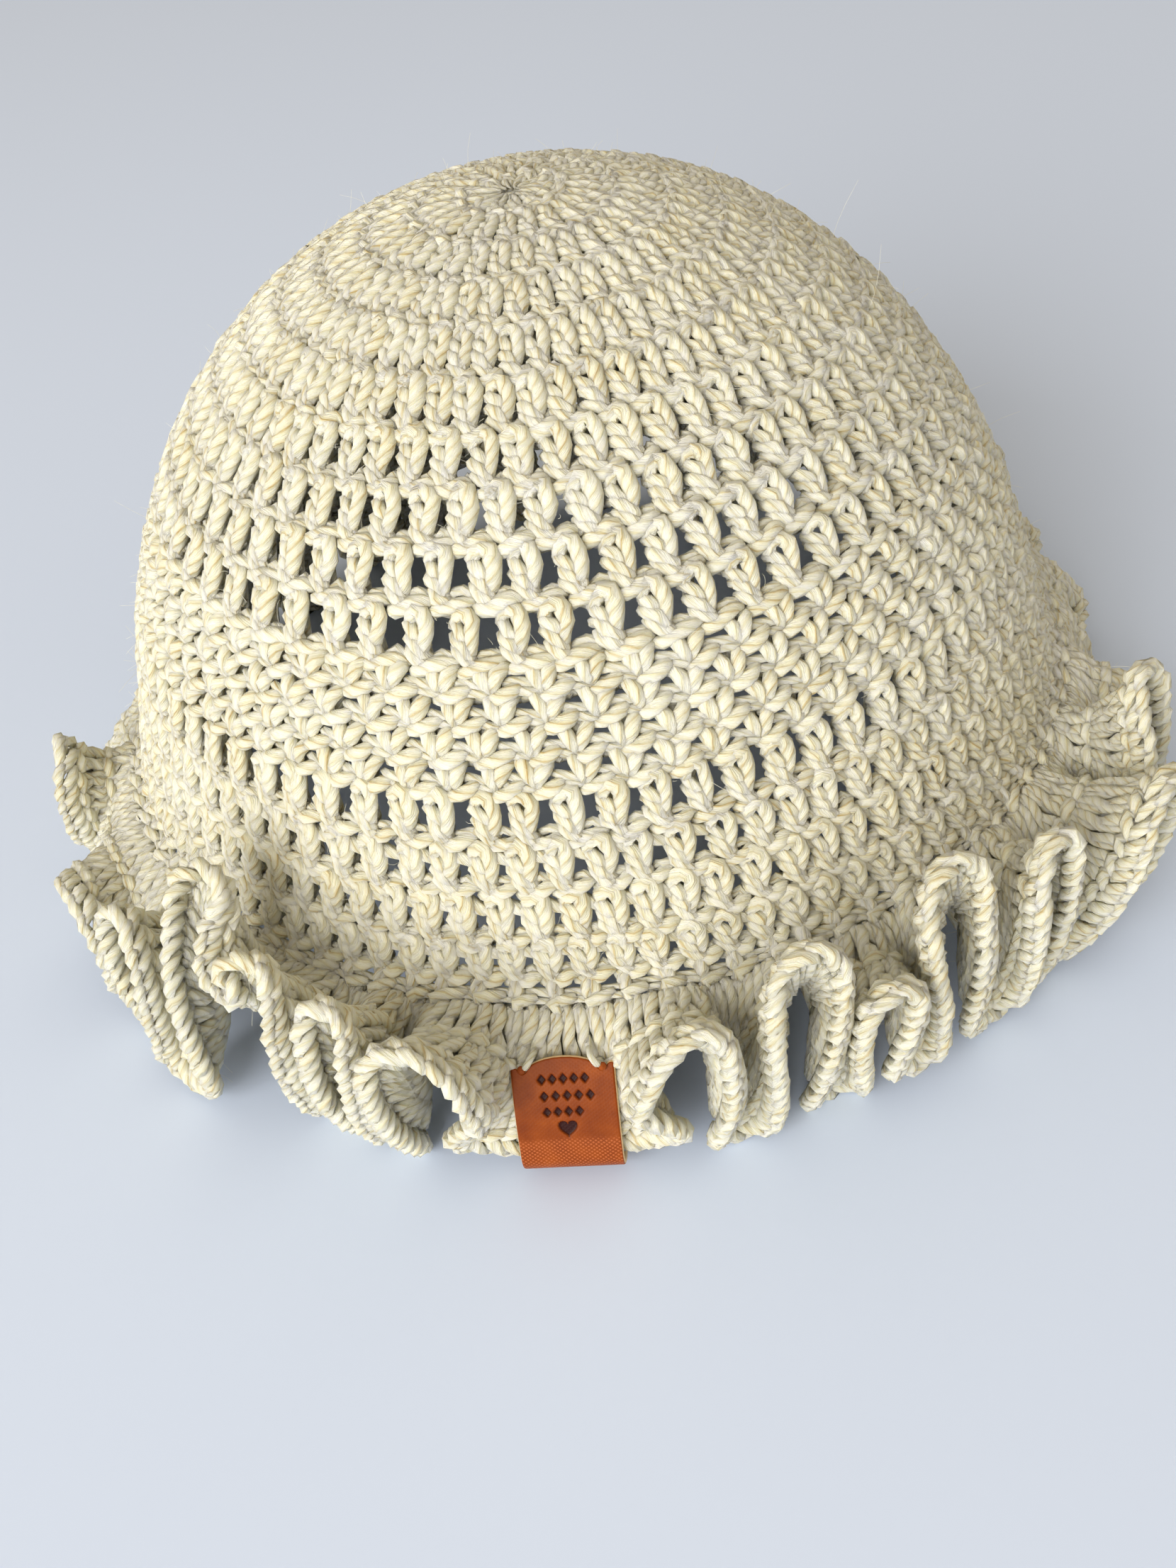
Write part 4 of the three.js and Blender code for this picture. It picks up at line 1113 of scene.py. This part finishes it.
def camera_matrix():
    """The camera stands off the rim's middle at its height angle, then pans, tilts and rolls."""
    height = math.radians(CAMERA_HEIGHT)
    pan, tilt, roll = (math.radians(a) for a in (CAMERA_PAN, CAMERA_TILT, CAMERA_ROLL))
    base = np.array(((1, 0, 0), (0, math.sin(height), math.cos(height)),
                     (0, math.cos(height), -math.sin(height))))
    about_y = np.array(((math.cos(pan), 0, math.sin(pan)), (0, 1, 0),
                        (-math.sin(pan), 0, math.cos(pan))))
    about_x = np.array(((1, 0, 0), (0, math.cos(tilt), -math.sin(tilt)),
                        (0, math.sin(tilt), math.cos(tilt))))
    about_z = np.array(((math.cos(roll), -math.sin(roll), 0),
                        (math.sin(roll), math.cos(roll), 0), (0, 0, 1)))
    axes = about_z @ about_x @ about_y @ base
    place = (0, -CAMERA_DISTANCE * math.cos(height),
             CAMERA_DISTANCE * math.sin(height) + CAMERA_TARGET)
    matrix = Matrix.Identity(4)
    for row in range(3):
        for column, axis in enumerate((axes[0], axes[1], -axes[2])):
            matrix[row][column] = axis[row]
        matrix[row][3] = place[row]
    return matrix


class HAT_OT_stage(bpy.types.Operator):
    """Sets the pale floor, the soft light and the camera"""

    bl_idname = "hat.stage"
    bl_label = "Stage"

    def execute(self, context):
        half = FLOOR_HALF
        mesh = bpy.data.meshes.new("floor")
        mesh.from_pydata([(-half, -half, 0), (half, -half, 0), (half, half, 0), (-half, half, 0)],
                         [], [(0, 1, 2, 3)])
        floor = bpy.data.objects.new("floor", mesh)
        context.scene.collection.objects.link(floor)
        mesh.materials.append(card_floor(context.scene.hat_colours))
        world = bpy.data.worlds.new("soft_room")
        world.use_nodes = True
        background = world.node_tree.nodes["Background"]
        background.inputs["Color"].default_value = linear(ROOM_COLOUR)
        background.inputs["Strength"].default_value = ROOM_STRENGTH
        context.scene.world = world
        for name, place, aim, size, power, colour in LAMPS:
            lamp = bpy.data.lights.new(name, "AREA")
            lamp.size = size
            lamp.energy = power
            lamp.color = linear(colour)[:3]
            light = bpy.data.objects.new(name, lamp)
            direction = np.array(aim) - np.array(place)
            light.location = place
            light.rotation_euler = aimed(direction)
            context.scene.collection.objects.link(light)
        lens = bpy.data.cameras.new("camera")
        lens.sensor_fit = "VERTICAL"
        lens.sensor_height = SENSOR_HEIGHT
        lens.sensor_width = SENSOR_WIDTH
        lens.lens = SENSOR_HEIGHT * CAMERA_FOCUS / FRAME_HEIGHT
        lens.clip_start = 0.01
        camera = bpy.data.objects.new("camera", lens)
        camera.matrix_world = camera_matrix()
        context.scene.collection.objects.link(camera)
        context.scene.camera = camera
        context.scene.view_settings.view_transform = "Standard"
        return {"FINISHED"}


class HAT_PT_panel(bpy.types.Panel):
    """Lists the hat's sizes, colours and pieces."""

    bl_label = "Crochet Hat"
    bl_idname = "HAT_PT_panel"
    bl_space_type = "VIEW_3D"
    bl_region_type = "UI"
    bl_category = "Crochet Hat"

    def draw(self, context):
        scene = context.scene
        for group in (scene.hat_yarn, scene.hat_tag, scene.hat_colours):
            box = self.layout.box()
            for name in group.bl_rna.properties.keys():
                if name not in ("rna_type", "name"):
                    box.prop(group, name)
        for operator in OPERATORS:
            self.layout.operator(operator.bl_idname)


OPERATORS = (HAT_OT_crown, HAT_OT_brim, HAT_OT_edging, HAT_OT_tag, HAT_OT_fibres, HAT_OT_stage)
CLASSES = (HatYarnSizes, HatTagSizes, HatColours, *OPERATORS, HAT_PT_panel)


def register():
    """Registers the classes and hangs the sizes and colours on the scene."""
    for cls in CLASSES:
        bpy.utils.register_class(cls)
    bpy.types.Scene.hat_yarn = bpy.props.PointerProperty(type=HatYarnSizes)
    bpy.types.Scene.hat_tag = bpy.props.PointerProperty(type=HatTagSizes)
    bpy.types.Scene.hat_colours = bpy.props.PointerProperty(type=HatColours)


def unregister():
    """Takes away what register adds."""
    del bpy.types.Scene.hat_colours
    del bpy.types.Scene.hat_tag
    del bpy.types.Scene.hat_yarn
    for cls in reversed(CLASSES):
        bpy.utils.unregister_class(cls)


def main():
    """Builds the pieces in order."""
    register()
    bpy.ops.hat.crown()
    bpy.ops.hat.brim()
    bpy.ops.hat.edging()
    bpy.ops.hat.tag()
    bpy.ops.hat.fibres()
    bpy.ops.hat.stage()


if __name__ == "__main__":
    main()
